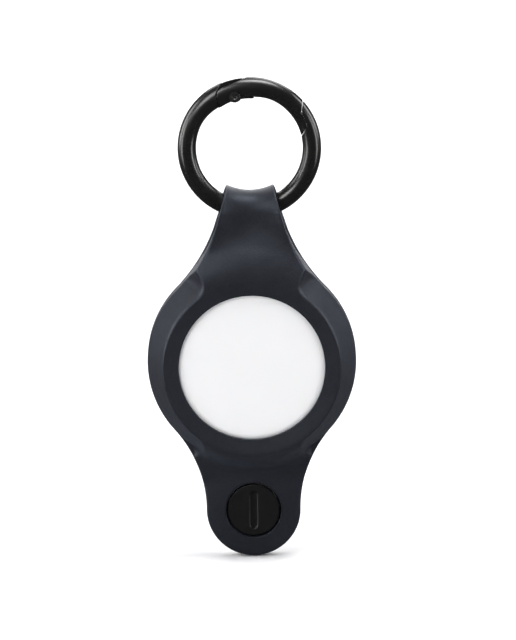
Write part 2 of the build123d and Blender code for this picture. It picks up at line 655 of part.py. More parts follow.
def inner_frame():
    """The plastic chassis: floor, battery wall, flange and three bayonet hooks."""
    floor = disc(0, TRACKER_Z, CELL_WALL_OUTER, FLOOR_FRONT, FLOOR_REAR)
    wall_top = COVER_INSIDE - CELL_COVER_GAP - GASKET_HEIGHT
    wall = ring(0, TRACKER_Z, CELL_WALL_INNER, CELL_WALL_OUTER, FLOOR_REAR, wall_top)
    edge = SHELL_BORE - FRAME_SIDE_GAP
    frame = floor + wall + ring(0, TRACKER_Z, CELL_WALL_INNER, edge, FLANGE_FRONT, FLANGE_REAR)
    for angle in LUG_ANGLES:
        frame = frame + bayonet_hook(angle)
    return frame


def coin_cell():
    return disc(0, TRACKER_Z, CELL_DIAMETER / 2, CELL_FRONT, CELL_REAR)


def cover_gasket():
    back = COVER_INSIDE - CELL_COVER_GAP
    return ring(0, TRACKER_Z, CELL_WALL_INNER, CELL_WALL_OUTER, back - GASKET_HEIGHT, back)


def battery_cover():
    """The steel cover: a shallow cup with a rounded edge and three inward lugs."""
    points = [(0, TRACKER_REAR)]
    for step in range(7):
        a = math.radians(15 * step)
        radius = COVER_RADIUS - COVER_EDGE_ROUND * (1 - math.sin(a))
        points.append((radius, TRACKER_REAR - COVER_EDGE_ROUND * (1 - math.cos(a))))
    outer = turned(points + [(COVER_RADIUS, COVER_RIM_FRONT), (0, COVER_RIM_FRONT)])
    bore = COVER_RADIUS - COVER_WALL
    corner = COVER_EDGE_ROUND - COVER_WALL
    room = turned(
        [
            (0, COVER_INSIDE),
            (bore - corner, COVER_INSIDE),
            (bore - 0.3 * corner, COVER_INSIDE - 0.3 * corner),
            (bore, COVER_INSIDE - corner),
            (bore, COVER_RIM_FRONT - 1),
            (0, COVER_RIM_FRONT - 1),
        ]
    )
    cover = outer - room
    lug_rear = COVER_RIM_FRONT + COVER_LUG_HEIGHT
    for angle in LUG_ANGLES:
        inner = bore - COVER_LUG_DEPTH
        cover = cover + sector(inner, bore + WELD, angle, LUG_SPAN, COVER_RIM_FRONT, lug_rear)
    return cover


def antenna_carrier():
    return ring(0, TRACKER_Z, ANTENNA_INNER_RADIUS, ANTENNA_OUTER_RADIUS, FLOOR_FRONT, FLANGE_FRONT)


def antenna_strips():
    inner = ANTENNA_INNER_RADIUS + ANTENNA_STRIP_MARGIN
    outer = ANTENNA_OUTER_RADIUS - ANTENNA_STRIP_MARGIN
    front = FLOOR_FRONT - ANTENNA_STRIP_THICKNESS
    spans = ((30, 90), (150, 90), (270, 100))
    return [sector(inner, outer, a, s, front, FLOOR_FRONT) for a, s in spans]


def group(solids):
    return Compound(children=solids)


def chips():
    """The packages on the board, by node name."""
    return {
        "radio_chip": chip(angle=60, length=5.2, width=4.4, height=0.9),
        "ranging_chip": chip(angle=150, length=4.6, width=4.0, height=0.8),
        "memory_chip": chip(angle=250, length=2.6, width=2.2, height=0.6),
        "motion_sensor": chip(angle=190, length=2.0, width=2.0, height=0.7),
        "power_inductor": chip(angle=285, length=2.0, width=1.6, height=0.9),
        "clock_crystal": chip(angle=10, length=2.0, width=1.2, height=0.5),
    }


def all_parts():
    """Every sub-part by node name."""
    blank = ring_blank()
    parts = {
        "ring_body": ring_body(blank),
        "ring_gate": ring_gate(blank),
        "gate_rivet": gate_rivet(),
        "gate_spring": gate_spring(),
        "holder_front": holder_front(),
        "holder_back": holder_back(),
        "lock_screw": lock_screw(),
        "lock_washer": lock_washer(),
        "lock_nut": lock_nut(),
        "tracker_shell": tracker_shell(),
        "voice_coil": voice_coil(),
        "speaker_magnet": speaker_magnet(),
        "magnet_yoke": magnet_yoke(),
        "circuit_board": circuit_board(),
        "inner_frame": inner_frame(),
        "positive_contacts": group([battery_contact(30), battery_contact(150)]),
        "negative_contact": battery_contact(270),
        "coin_cell": coin_cell(),
        "cover_gasket": cover_gasket(),
        "battery_cover": battery_cover(),
        "antenna_carrier": antenna_carrier(),
        "antenna_strips": group(antenna_strips()),
    }
    parts.update(chips())
    return parts


os.makedirs("parts", exist_ok=True)
for name, solid in all_parts().items():
    export_step(solid, f"parts/{name}.step")
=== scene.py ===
import json
import math

import bmesh
import bpy
import numpy as np
from mathutils import Matrix, Vector


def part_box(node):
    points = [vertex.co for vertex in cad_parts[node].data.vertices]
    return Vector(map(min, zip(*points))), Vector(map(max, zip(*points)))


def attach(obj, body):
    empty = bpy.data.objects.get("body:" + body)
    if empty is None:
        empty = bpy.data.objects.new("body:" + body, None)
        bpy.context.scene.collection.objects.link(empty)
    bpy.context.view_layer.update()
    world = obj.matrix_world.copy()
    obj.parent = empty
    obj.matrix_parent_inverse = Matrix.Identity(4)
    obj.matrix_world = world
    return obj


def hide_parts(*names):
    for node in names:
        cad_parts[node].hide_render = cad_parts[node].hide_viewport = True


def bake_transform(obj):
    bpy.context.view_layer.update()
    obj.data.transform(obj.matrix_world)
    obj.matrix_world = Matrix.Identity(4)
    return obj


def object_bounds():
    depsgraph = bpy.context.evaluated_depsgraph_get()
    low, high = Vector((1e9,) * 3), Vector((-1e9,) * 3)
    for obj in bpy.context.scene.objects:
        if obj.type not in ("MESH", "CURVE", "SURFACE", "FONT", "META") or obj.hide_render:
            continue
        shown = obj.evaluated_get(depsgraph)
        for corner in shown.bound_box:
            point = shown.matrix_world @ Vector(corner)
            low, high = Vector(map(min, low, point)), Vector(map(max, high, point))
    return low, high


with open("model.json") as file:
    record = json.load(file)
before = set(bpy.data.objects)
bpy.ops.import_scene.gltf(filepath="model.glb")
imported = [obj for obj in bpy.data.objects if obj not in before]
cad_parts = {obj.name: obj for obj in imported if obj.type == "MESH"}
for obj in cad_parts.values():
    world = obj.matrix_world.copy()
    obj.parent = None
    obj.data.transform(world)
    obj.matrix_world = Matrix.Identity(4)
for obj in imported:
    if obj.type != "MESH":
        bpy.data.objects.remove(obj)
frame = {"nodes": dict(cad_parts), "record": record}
CAD_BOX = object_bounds()

bl_info = {
    "name": "Tracker Tag Looks",
    "version": (1, 0, 0),
    "blender": (4, 5, 0),
    "location": "View3D > Sidebar > Tracker Tag",
    "description": "Detailed surfaces and finishes for a disc tracker in a silicone key tag",
    "category": "Object",
}

MM = 0.001
FLOOR_DROP = 0.15


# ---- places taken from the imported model, in millimetres ----
def box_mm(node):
    """Lowest and highest corner of a node, in millimetres."""
    low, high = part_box(node)
    return np.array(low) / MM, np.array(high) / MM


SHELL_LOW, SHELL_HIGH = box_mm("tracker_shell")
HOLDER_LOW, HOLDER_HIGH = box_mm("holder_front")
PANEL_LOW, PANEL_HIGH = box_mm("holder_back")
COVER_LOW, COVER_HIGH = box_mm("battery_cover")
SCREW_LOW, SCREW_HIGH = box_mm("lock_screw")
NUT_LOW, NUT_HIGH = box_mm("lock_nut")
RIVET_LOW, RIVET_HIGH = box_mm("gate_rivet")
RING_LOW, RING_HIGH = box_mm("ring_body")

TRACKER_Z = (SHELL_LOW[2] + SHELL_HIGH[2]) / 2
LOCK_Z = (SCREW_LOW[2] + SCREW_HIGH[2]) / 2
LOCK_DROP = TRACKER_Z - LOCK_Z
RING_WIRE = RING_HIGH[1] * 2
RING_OUTER = -RING_LOW[2]
RING_MIDDLE = RING_OUTER - RING_WIRE / 2
RING_INNER = RING_OUTER - RING_WIRE
FOLD_Z = -RING_MIDDLE
FOLD_RISE = FOLD_Z - TRACKER_Z
BACK_FACE = PANEL_HIGH[1]
PANEL_INNER = PANEL_LOW[1]
STRAP = BACK_FACE - PANEL_INNER
BULGE_FRONT = HOLDER_LOW[1]
RIM_RADIUS = HOLDER_HIGH[0]
TAB_RADIUS = TRACKER_Z - LOCK_DROP - HOLDER_LOW[2]
SHELL_RADIUS = SHELL_HIGH[0]
SHELL_FRONT = SHELL_LOW[1]
SHELL_BACK = SHELL_HIGH[1]
RIVET_X = (RIVET_LOW[0] + RIVET_HIGH[0]) / 2
RIVET_Z = (RIVET_LOW[2] + RIVET_HIGH[2]) / 2
PANEL_GAP = 0.15
FRONT_REAR = PANEL_INNER - PANEL_GAP
TAB_FRONT = SCREW_LOW[1] - 0.4

# ---- the holder's shape, in millimetres about the tracker's axis ----
NECK_FLARE = 13.0                # how far the neck's edges open at the fold, in degrees
FOLD_ARC = RING_INNER            # the fold's edges follow the ring's inner circle
FLARE_END = 1.8                  # how far below the fold's axis its flare is complete
FRONT_FLARE, REAR_FLARE, BACK_FLARE = 19.5, 24.0, 24.6  # heights where each face's flare starts
UPPER_FALL = (19.6, 25.0)        # distances over which the front falls to the strap
LOWER_FALL = (17.6, 20.7)        # distances over which the front falls to the tab
REAR_FALL = (18.6, 22.8)         # heights over which the rear meets the strap's inside
UPPER_SOFT, LOWER_SOFT, REAR_SOFT = 2.3, 1.1, 0.8  # roundings at the ends of each fall
RIM_FRONT = -0.3                 # y of the facets' outer edge
FACET_WALL = 2.4                 # slope of the wall that ends a facet
FACET_OPENING = 0.11             # how fast that wall opens above and below FACET_STRAIGHT
FACET_STRAIGHT = 15.0
FACET_SOFT = 3.4                 # rounding where a facet meets its wall
CREST_SOFT, CREST_SOFTER = 0.25, 0.6  # rounding of the crest, and what it gains with height
CREST_START, CREST_SPAN = -1.0, 11.0
DISH_INSIDE, DISH_SOFT = 0.35, 0.5
DOME_DEPTH, DOME_LIMIT = 0.55, 1.15
DOME_START, DOME_SPAN = -19.0, 5.0
SHOULDER_WIDTH, SHOULDER_DEPTH, SHELL_FALL = 3.15, 2.65, 0.25
POCKET_GAP = 0.1
LIP = 0.15                       # rounding of every opening's edge
COUNTERBORE, SCREW_HOLE = 5.25, 2.9
SEAT_DEPTH = 1.54
NUT_FLANGE, NUT_BORE, NUT_DEPTH = 4.55, 2.65, 0.8
FOLD_FOOT = 0.5                  # how far below its axis the fold meets the back strap
EDGE_LIMIT = 0.8                 # largest share of a row that an edge's rounding takes

# ---- how finely the holder is divided ----
SEGMENT_COUNTS = (44, 190, 34, 20, 60)
RIM_START, RIM_END = 25, 155     # degrees from the top where the columns end at the window
WAIST_SHARE = 0.47               # share of the tab's radius above the lock, where the waist ends
FOLD_COLUMNS = 44
FRONT_ROWS = 46
REAR_ROWS = 12
ROUND_ROWS = 6
RUN_POINTS = 400


# ---- sizes a user may change ----
def length(name, description, default_mm):
    """A length property whose default is given in millimetres."""
    return bpy.props.FloatProperty(
        name=name, description=description, default=default_mm * MM,
        min=0.0, precision=5, unit="LENGTH", subtype="DISTANCE",
    )


def colour(name, description, default):
    """A linear colour property."""
    return bpy.props.FloatVectorProperty(
        name=name, description=description, default=default,
        size=3, min=0.0, max=1.0, subtype="COLOR",
    )


def turn(name, description, degrees):
    """An angle property whose default is given in degrees."""
    return bpy.props.FloatProperty(
        name=name, description=description, default=math.radians(degrees),
        unit="ROTATION", subtype="ANGLE",
    )


def share(name, description, default):
    """A plain number from 0 to 1."""
    return bpy.props.FloatProperty(
        name=name, description=description, default=default,
        min=0.0, max=1.0, subtype="FACTOR",
    )


class HolderSizes(bpy.types.PropertyGroup):
    """Shape of the silicone holder"""

    edge_round: length("Edge rounding", "Radius along the outer edges of the strap", 0.42)
    rear_round: length("Rear rounding", "Radius along the rear edges", 0.30)
    crest_radius: length("Crest radius", "Where the side facets start", 16.75)
    waist_half_width: length("Waist half width", "Half width of the band between facets", 9.0)
    window_radius: length("Window radius", "Radius of the opening over the tracker", 13.75)
    dish_depth: length("Dish depth", "How far the window's lip lies below the front", 0.5)
    fold_half_width: length("Fold half width", "Half width of the fold beside the ring wire", 5.75)
    fold_taper: length("Fold taper", "How much each side narrows to the fold's top", 1.3)


class RingSizes(bpy.types.PropertyGroup):
    """Shape of the spring-gate ring"""

    swell: length("Swelling", "Extra radial thickness at the gate hinge", 0.6)
    seam_ease: length("Seam rounding", "Rounding of the edges at the two seams", 0.12)
    knuckle_radius: length("Knuckle radius", "Rounded end of the gate about its rivet", 3.35)


class LockSizes(bpy.types.PropertyGroup):
    """Shape of the lock screw"""

    slot_length: length("Slot length", "Length of the coin slot", 7.0)
    slot_width: length("Slot width", "Width of the coin slot", 1.3)
    slot_depth: length("Slot depth", "Depth of the coin slot", 0.5)


class Finishes(bpy.types.PropertyGroup):
    """Colours of the finishes"""

    silicone: colour("Silicone", "Satin midnight silicone", (0.0110, 0.0113, 0.0148))
    ring: colour("Ring", "Black plated steel", (0.0035, 0.0034, 0.0033))
    shell: colour("Shell", "White polished plastic", (0.77, 0.77, 0.78))
    lock: colour("Lock", "Black moulded plastic", (0.0040, 0.0040, 0.0042))
    steel: colour("Steel", "Polished steel", (0.60, 0.60, 0.62))
    silicone_roughness: share("Silicone roughness", "Roughness of the silicone", 0.46)


class StageSizes(bpy.types.PropertyGroup):
    """Camera, backdrop and lights"""

    camera_distance: length("Camera distance", "From the ring to the camera", 1500.0)
    elevation: turn("Elevation", "Height angle of the camera", 11.0)
    roll: turn("Roll", "Lean of the camera about its view", 0.68)
    backdrop: colour("Backdrop", "Pale seamless floor", (0.90, 0.90, 0.91))
    surround: share("Surround", "Strength of the even light from all round", 0.08)


GROUPS = {
    "holder": HolderSizes, "ring": RingSizes, "lock": LockSizes,
    "finishes": Finishes, "stage": StageSizes,
}


def sizes(name):
    """One of this add-on's property groups on the scene."""
    return getattr(bpy.context.scene, "tracker_tag_" + name)


# ---- curves and smooth joins, all on whole arrays ----
def smooth(t):
    """0 below 0, 1 above 1, and the cubic 3t^2 - 2t^3 between."""
    t = np.clip(t, 0.0, 1.0)
    return t * t * (3 - 2 * t)


def soft_positive(d, soft):
    """d where positive, 0 where negative, joined by a parabola within soft of 0."""
    bend = (d + soft) ** 2 / (4 * soft)
    return np.where(d < -soft, 0.0, np.where(d > soft, d, bend))


def ramp(t, start, end, first, last, soft):
    """Level at first, a straight slope from start to end, level at last, with soft corners."""
    slope = (last - first) / (end - start)
    return first + slope * (soft_positive(t - start, soft) - soft_positive(t - end, soft))


def soft_max(a, b, soft):
    """The larger of two surfaces, with their crossing rounded over the height soft."""
    near = np.maximum(soft - np.abs(a - b), 0) / soft
    return np.maximum(a, b) + near * near * soft / 4


def soft_min(a, b, soft):
    """The smaller of two surfaces, rounded as soft_max."""
    return -soft_max(-a, -b, soft)


def arc(centre, radius, start, end, count):
    """Points on a circle from one point's direction to another's, the short way round."""
    a = math.atan2(start[1] - centre[1], start[0] - centre[0])
    b = math.atan2(end[1] - centre[1], end[0] - centre[0])
    turn = (b - a + math.pi) % (2 * math.pi) - math.pi
    angles = a + turn * np.linspace(0, 1, count)
    return np.asarray(centre) + radius * np.stack([np.cos(angles), np.sin(angles)], 1)


def resample(points, count):
    """count points spaced evenly along a polyline."""
    steps = np.hypot(*np.diff(points, axis=0).T)
    along = np.concatenate([[0], np.cumsum(steps)])
    wanted = np.linspace(0, along[-1], count)
    return np.stack([np.interp(wanted, along, points[:, i]) for i in range(2)], 1)


# ---- meshes ----
def grid_faces(rows, columns, closed=False):
    """Quads of a grid whose point (i, j) has index i * columns + j."""
    steps = columns if closed else columns - 1
    i, j = np.meshgrid(np.arange(rows - 1), np.arange(steps), indexing="ij")
    k = (j + 1) % columns
    a, b = i * columns + j, i * columns + k
    c, d = (i + 1) * columns + k, (i + 1) * columns + j
    return np.stack([a, b, c, d], -1).reshape(-1, 4)


def join_grids(grids):
    """One vertex array and one face array from (points, closed) grids."""
    points, faces, first = [], [], 0
    for grid, closed in grids:
        rows, columns = grid.shape[:2]
        points.append(grid.reshape(-1, 3))
        faces.append(grid_faces(rows, columns, closed) + first)
        first += rows * columns
    return np.concatenate(points), np.concatenate(faces)


WELD = 0.004                     # points closer than this are one point


def make_piece(name, grids, sharp=None):
    """A welded, outward-facing, smooth object from grids of points in millimetres."""
    points, faces = join_grids(grids)
    mesh = bpy.data.meshes.new(name)
    mesh.from_pydata((points * MM).tolist(), [], faces.tolist())
    work = bmesh.new()
    work.from_mesh(mesh)
    bmesh.ops.remove_doubles(work, verts=work.verts, dist=WELD * MM)
    bmesh.ops.dissolve_degenerate(work, edges=work.edges, dist=WELD * MM * 0.2)
    bmesh.ops.recalc_face_normals(work, faces=work.faces)
    work.to_mesh(mesh)
    work.free()
    mesh.polygons.foreach_set("use_smooth", np.ones(len(mesh.polygons), bool))
    if sharp is not None:
        mesh.set_sharp_from_angle(angle=math.radians(sharp))
    mesh.update()
    piece = bpy.data.objects.new(name, mesh)
    bpy.context.scene.collection.objects.link(piece)
    return piece


def dress(piece, slot):
    """Gives a piece the finish made for a slot."""
    piece.data.materials.clear()
    piece.data.materials.append(finish_for(slot))
    return piece


def turned_between(profile, angles, z, x=0.0):
    """A surface turned about the Y line at (x, z) from (radius, y) points, at given angles
    from the top."""
    profile = np.asarray(profile, float)
    radius, depth = profile[:, :1], profile[:, 1:]
    return np.stack(
        [
            x + radius * np.sin(angles),
            np.broadcast_to(depth, (len(profile), len(angles))),
            z + radius * np.cos(angles),
        ],
        -1,
    )


def turned(profile, count, z, x=0.0):
    """A surface turned all the way round the Y line at (x, z)."""
    return turned_between(profile, np.linspace(0, 2 * np.pi, count, endpoint=False), z, x)


def rounded(corners, radii, steps=6):
    """A polyline whose inner corners are replaced by arcs of the given radii."""
    corners = np.asarray(corners, float)
    line = [corners[0]]
    for i in range(1, len(corners) - 1):
        before, here, after = corners[i - 1], corners[i], corners[i + 1]
        u = (before - here) / np.linalg.norm(before - here)
        v = (after - here) / np.linalg.norm(after - here)
        half = math.acos(float(np.clip(u @ v, -1, 1))) / 2
        radius = radii[i - 1]
        if radius <= 0:
            line.append(here)
            continue
        reach = radius / math.tan(half)
        middle = here + (u + v) / np.linalg.norm(u + v) * radius / math.sin(half)
        a, b = here + u * reach - middle, here + v * reach - middle
        sweep = math.pi - 2 * half
        for k in range(steps + 1):
            s = k / steps * sweep
            weight_a = math.sin(sweep - s) / math.sin(sweep)
            weight_b = math.sin(s) / math.sin(sweep)
            line.append(middle + a * weight_a + b * weight_b)
    line.append(corners[-1])
    return np.array(line)


# ---- the holder's outline and heights, measured from the tracker's axis ----
def outline_segments():
    """The right half of the holder's front view as five runs of (x, height) points:
    flare to the first quarter, round rim, waist, lower waist and rounded tab.
    Each flare is an arc tangent to the rim, and the waist is an arc tangent to rim and tab."""
    rim, axis = RIM_RADIUS, (0, 0)
    start = np.array([sizes("holder").fold_half_width / MM, FOLD_RISE])
    centre, radius = flare_circle()
    shoulder = centre * rim / (rim + radius)
    tab = np.array([TAB_RADIUS, -LOCK_DROP])
    waist_radius = (tab @ tab - rim**2) / (2 * (rim - tab[0]))
    waist_centre = np.array([tab[0] + waist_radius, tab[1]])
    hip = waist_centre * rim / (rim + waist_radius)
    neck = arc(centre, radius, start, shoulder, RUN_POINTS)
    upper = arc(axis, rim, shoulder, (rim, 0), RUN_POINTS)
    lower = arc(axis, rim, (rim, 0), hip, RUN_POINTS)
    waist = arc(waist_centre, waist_radius, hip, tab, RUN_POINTS)
    bottom = (1e-9, -LOCK_DROP - TAB_RADIUS)
    end = arc((0, -LOCK_DROP), TAB_RADIUS, tab, bottom, RUN_POINTS)
    side = np.concatenate([neck, upper[1:], lower[1:], waist[1:]])
    polar = np.degrees(np.arctan2(side[:, 0], side[:, 1]))
    first = int(np.argmax(polar >= RIM_START))
    last = int(np.argmax(polar >= RIM_END))
    low = int(np.argmax(side[:, 1] <= -LOCK_DROP + TAB_RADIUS * WAIST_SHARE))
    return [side[: first + 1], side[first : last + 1], side[last : low + 1], side[low:], end]


def trumpet(x):
    """How far the fold stands out beside the middle: a circle of the ring's inner radius."""
    return FOLD_ARC - np.sqrt(np.maximum(FOLD_ARC**2 - x**2, 0.01))


def flare_circle():
    """Centre and radius of the right neck edge's arc, which is tangent to the rim."""
    flare = math.radians(NECK_FLARE)
    start = np.array([sizes("holder").fold_half_width / MM, FOLD_RISE])
    out = np.array([math.cos(flare), math.sin(flare)])
    radius = (start @ start - RIM_RADIUS**2) / (2 * (RIM_RADIUS - start @ out))
    return start + radius * out, radius


def neck_share(x, h):
    """x as it would be at the fold, when the neck's width there is scaled to the fold's."""
    centre, radius = flare_circle()
    level = np.clip(h, centre[1] - 0.75 * radius, FOLD_RISE)
    half = centre[0] - np.sqrt(radius**2 - (level - centre[1]) ** 2)
    return x * sizes("holder").fold_half_width / MM / half


def flare_share(h, start):
    """How much of the fold's flare a face has: 0 at a height, 1 just below the fold."""
    return smooth((h - start) / (FOLD_RISE - FLARE_END - start))


def tab_dome(x, h):
    """How far the tab's face falls back: the cube of the distance from the lock's axis."""
    reach = np.hypot(x, h + LOCK_DROP) / TAB_RADIUS
    return DOME_DEPTH * np.minimum(reach, DOME_LIMIT) ** 3 * smooth((DOME_START - h) / DOME_SPAN)


def front_height(x, h):
    """y of the holder's front. The level front falls to the strap along a cone about the
    tracker's axis, above and below. Outside the waist band a steeper cone cuts the side
    facets, and a wall that opens with height ends them. The crest between is sharper below."""
    p = sizes("holder")
    crest, waist = p.crest_radius / MM, p.waist_half_width / MM
    r = np.hypot(x, h)
    strap_front = -(PANEL_INNER + STRAP)
    above = ramp(r, *UPPER_FALL, BULGE_FRONT, strap_front, UPPER_SOFT)
    below = ramp(r, *LOWER_FALL, BULGE_FRONT, TAB_FRONT, LOWER_SOFT)
    skin = np.where(h > 0, above, below)
    slope = (RIM_FRONT - BULGE_FRONT) / (RIM_RADIUS - crest)
    cone = np.minimum(RIM_FRONT - (RIM_RADIUS - r) * slope, RIM_FRONT)
    wall = np.abs(x) - waist - FACET_OPENING * np.maximum(np.abs(h) - FACET_STRAIGHT, 0) ** 2
    facet = soft_min(cone, skin + FACET_WALL * wall, FACET_SOFT)
    softness = CREST_SOFT + CREST_SOFTER * smooth((h - CREST_START) / CREST_SPAN)
    body = soft_max(skin, facet, softness)
    depth = p.dish_depth / MM
    dish = ramp(r, p.window_radius / MM, crest - DISH_INSIDE, depth, 0.0, DISH_SOFT)
    flare = trumpet(neck_share(x, h)) * flare_share(h, FRONT_FLARE)
    return body + dish * (r < crest + 1) - flare + tab_dome(x, h)


def rear_height(x, h):
    """y of the front moulding's rear: the strap's inside above, the parting face below."""
    rear = ramp(h, *REAR_FALL, FRONT_REAR, -PANEL_INNER, REAR_SOFT)
    return rear - trumpet(x) * flare_share(h, REAR_FLARE)


def circle_run(radius, z, start, end, count):
    """Points (x, height) on a circle, its angle from the top going from start to end."""
    a = np.radians(np.linspace(start, end, count))
    return np.stack([radius * np.sin(a), z + radius * np.cos(a)], 1)


def centre_run(start, end, count):
    """Points down the centre line from one height to another."""
    return np.stack([np.zeros(count), np.linspace(start, end, count)], 1)


def inner_run(window, hole, top):
    """The inner border that the five outline runs are ruled to: centre line, window,
    centre line, and the lock hole in two quarters."""
    neck, rim, waist, upper, lower = SEGMENT_COUNTS
    return [
        centre_run(top, window, neck),
        circle_run(window, 0, 0, 180, rim),
        centre_run(-window, -LOCK_DROP + hole, waist),
        circle_run(hole, -LOCK_DROP, 0, 90, upper),
        circle_run(hole, -LOCK_DROP, 90, 180, lower),
    ]


def plan_columns(window, hole, segments, top):
    """Matching (inner, outer) points for every column of the half plan."""
    outer = [resample(run, n) for run, n in zip(segments, SEGMENT_COUNTS)]
    inner = inner_run(window, hole, top)
    keep = [slice(None)] + [slice(1, None)] * 4
    return (
        np.concatenate([run[k] for run, k in zip(inner, keep)]),
        np.concatenate([run[k] for run, k in zip(outer, keep)]),
    )


def rows_from_edge(inner, outer, rows, radius):
    """Points ruled from the inner border to the outline, and the edge's rounding.
    Inside the rounding a row lies r(1 - sin t) from the edge and drops r(1 - cos t)."""
    span = np.hypot(*(inner - outer).T)[:, None]
    t = np.linspace(0, np.pi / 2, ROUND_ROWS)[None, :]
    radius = np.minimum(radius, span * EDGE_LIMIT)
    away = radius * (1 - np.sin(t))
    drop = radius * (1 - np.cos(t))
    flat = span + (radius - span) * np.linspace(0, 1, rows)[None, :]
    away = np.concatenate([flat, away[:, 1:]], 1)
    drop = np.concatenate([np.zeros_like(flat), drop[:, 1:]], 1)
    part = (away / span)[..., None]
    plan = outer[:, None, :] + (inner - outer)[:, None, :] * part
    return plan, drop


def half_chain(front, rear, front_y, rear_y, facing):
    """Columns that run from the front's inner border over the edge to the rear's: front
    rows, the rounded edge, the side wall, the rounded rear edge and the rear rows. facing
    is 1 where the rounded front looks to -Y, and -1 where it looks to +Y."""
    p = sizes("holder")
    plan_f, drop_f = rows_from_edge(front[0], front[1], FRONT_ROWS, p.edge_round / MM)
    plan_r, drop_r = rows_from_edge(rear[0], rear[1], REAR_ROWS, p.rear_round / MM)
    y_f = front_y(plan_f[..., 0], plan_f[..., 1]) + facing * drop_f
    y_r = rear_y(plan_r[..., 0], plan_r[..., 1]) - facing * drop_r
    a = np.stack([plan_f[..., 0], y_f, plan_f[..., 1]], -1)
    b = np.stack([plan_r[..., 0], y_r, plan_r[..., 1]], -1)[:, ::-1]
    t = np.linspace(0, 1, 4)[None, 1:-1, None]
    wall = a[:, -1:] + (b[:, :1] - a[:, -1:]) * t
    return np.concatenate([a, wall, b], 1)


def mirrored(grid):
    """The same grid on the other side of the plane x = 0."""
    return grid * np.array([-1.0, 1.0, 1.0])


def lifted(grid, z):
    """A grid moved from the tracker's axis to its height in the frame."""
    return grid + np.array([0.0, 0.0, z])


def end_cap(column):
    """Closes a chain's open end by ruling its first half to its second half."""
    half = len(column) // 2
    return np.stack([column[:half], column[::-1][:half]])


def fold_grid(chain):
    """The neck's first column carried round the fold's axis to the back and a little down.
    The strap narrows towards the top of the fold, and its edges keep to the ring's circle."""
    p = sizes("holder")
    wide, taper = p.fold_half_width / MM, p.fold_taper / MM
    turn = np.linspace(0, np.pi, FOLD_COLUMNS)[1:, None]
    x0, depth0 = chain[None, :, 0], -chain[None, :, 1]
    x = x0 * (wide - taper * np.sin(turn)) / wide
    depth = depth0 - trumpet(x0) + trumpet(x)
    over = np.stack([x, -depth * np.cos(turn), FOLD_RISE + depth * np.sin(turn)], -1)
    down = over[-1:] - np.array([0.0, 0.0, FOLD_FOOT])
    return np.concatenate([over, down], 0)


def pocket_curve(window):
    """Half section of the tracker's pocket, from the window to the parting face."""
    flat = SHELL_RADIUS - SHOULDER_WIDTH
    side = SHELL_RADIUS + POCKET_GAP
    start = math.asin((window - flat) / (side - flat))
    a = np.linspace(start, np.pi / 2, 14)
    y = SHELL_FRONT + SHELL_FALL + SHOULDER_DEPTH - (SHOULDER_DEPTH + POCKET_GAP) * np.cos(a)
    curve = np.stack([flat + (side - flat) * np.sin(a), y], 1)
    return np.concatenate([curve, [[side, FRONT_REAR]]])


def window_angles():
    """Angles from the top of the columns that end at the window."""
    return np.radians(np.linspace(0, 180, SEGMENT_COUNTS[1]))


def hole_angles():
    """Angles from the top of the columns that end at the lock's hole."""
    upper = np.linspace(0, 90, SEGMENT_COUNTS[3])
    lower = np.linspace(90, 180, SEGMENT_COUNTS[4])
    return np.radians(np.concatenate([upper, lower[1:]]))


def lip_curve(radius, face, way):
    """A quarter round from a face at y into an opening, as (radius, y) points."""
    t = np.linspace(0, np.pi / 2, 5)
    return np.stack([radius - LIP * np.sin(t), face + way * LIP * (1 - np.cos(t))], 1)


def holder_front_grids():
    """The front moulding and the fold, as grids about the tracker's axis."""
    bare_window = sizes("holder").window_radius / MM
    window = bare_window + LIP
    segments = outline_segments()
    front = plan_columns(window, COUNTERBORE + LIP, segments, FOLD_RISE)
    rear = plan_columns(SHELL_RADIUS + POCKET_GAP, SCREW_HOLE, segments, FOLD_RISE)
    half = half_chain(front, rear, front_height, rear_height, 1)
    half = np.concatenate([fold_grid(half[0])[::-1], half], 0)
    rim_y = front_height(np.array(window), np.array(0.0))
    pocket = np.concatenate([lip_curve(window, rim_y, 1), pocket_curve(bare_window)])
    seat = TAB_FRONT + SEAT_DEPTH
    step = [[COUNTERBORE, seat], [SCREW_HOLE, seat], [SCREW_HOLE, FRONT_REAR]]
    bore = np.concatenate([lip_curve(COUNTERBORE + LIP, TAB_FRONT, 1), step])
    return [
        half,
        turned_between(pocket, window_angles(), 0.0),
        turned_between(bore, hole_angles(), -LOCK_DROP),
        end_cap(half[0]),
    ]


def back_outer(x, h):
    """y of the back strap's outer face: level, but flared beside the fold."""
    return BACK_FACE + trumpet(x) * flare_share(h, BACK_FLARE)


def back_inner(x, h):
    """y of the back strap's inner face."""
    return back_outer(x, h) - STRAP


def back_segments(top):
    """The outline below a height, eased out to the fold's full width at that height."""
    segments = outline_segments()
    first = segments[0]
    below = first[first[:, 1] < top]
    edge = np.interp(top, first[::-1, 1], first[::-1, 0])
    neck = np.concatenate([[[edge, top]], below])
    wide = sizes("holder").fold_half_width / MM
    neck[:, 0] += (wide - edge) * smooth((neck[:, 1] - BACK_FLARE) / (top - BACK_FLARE))
    return [neck] + segments[1:]


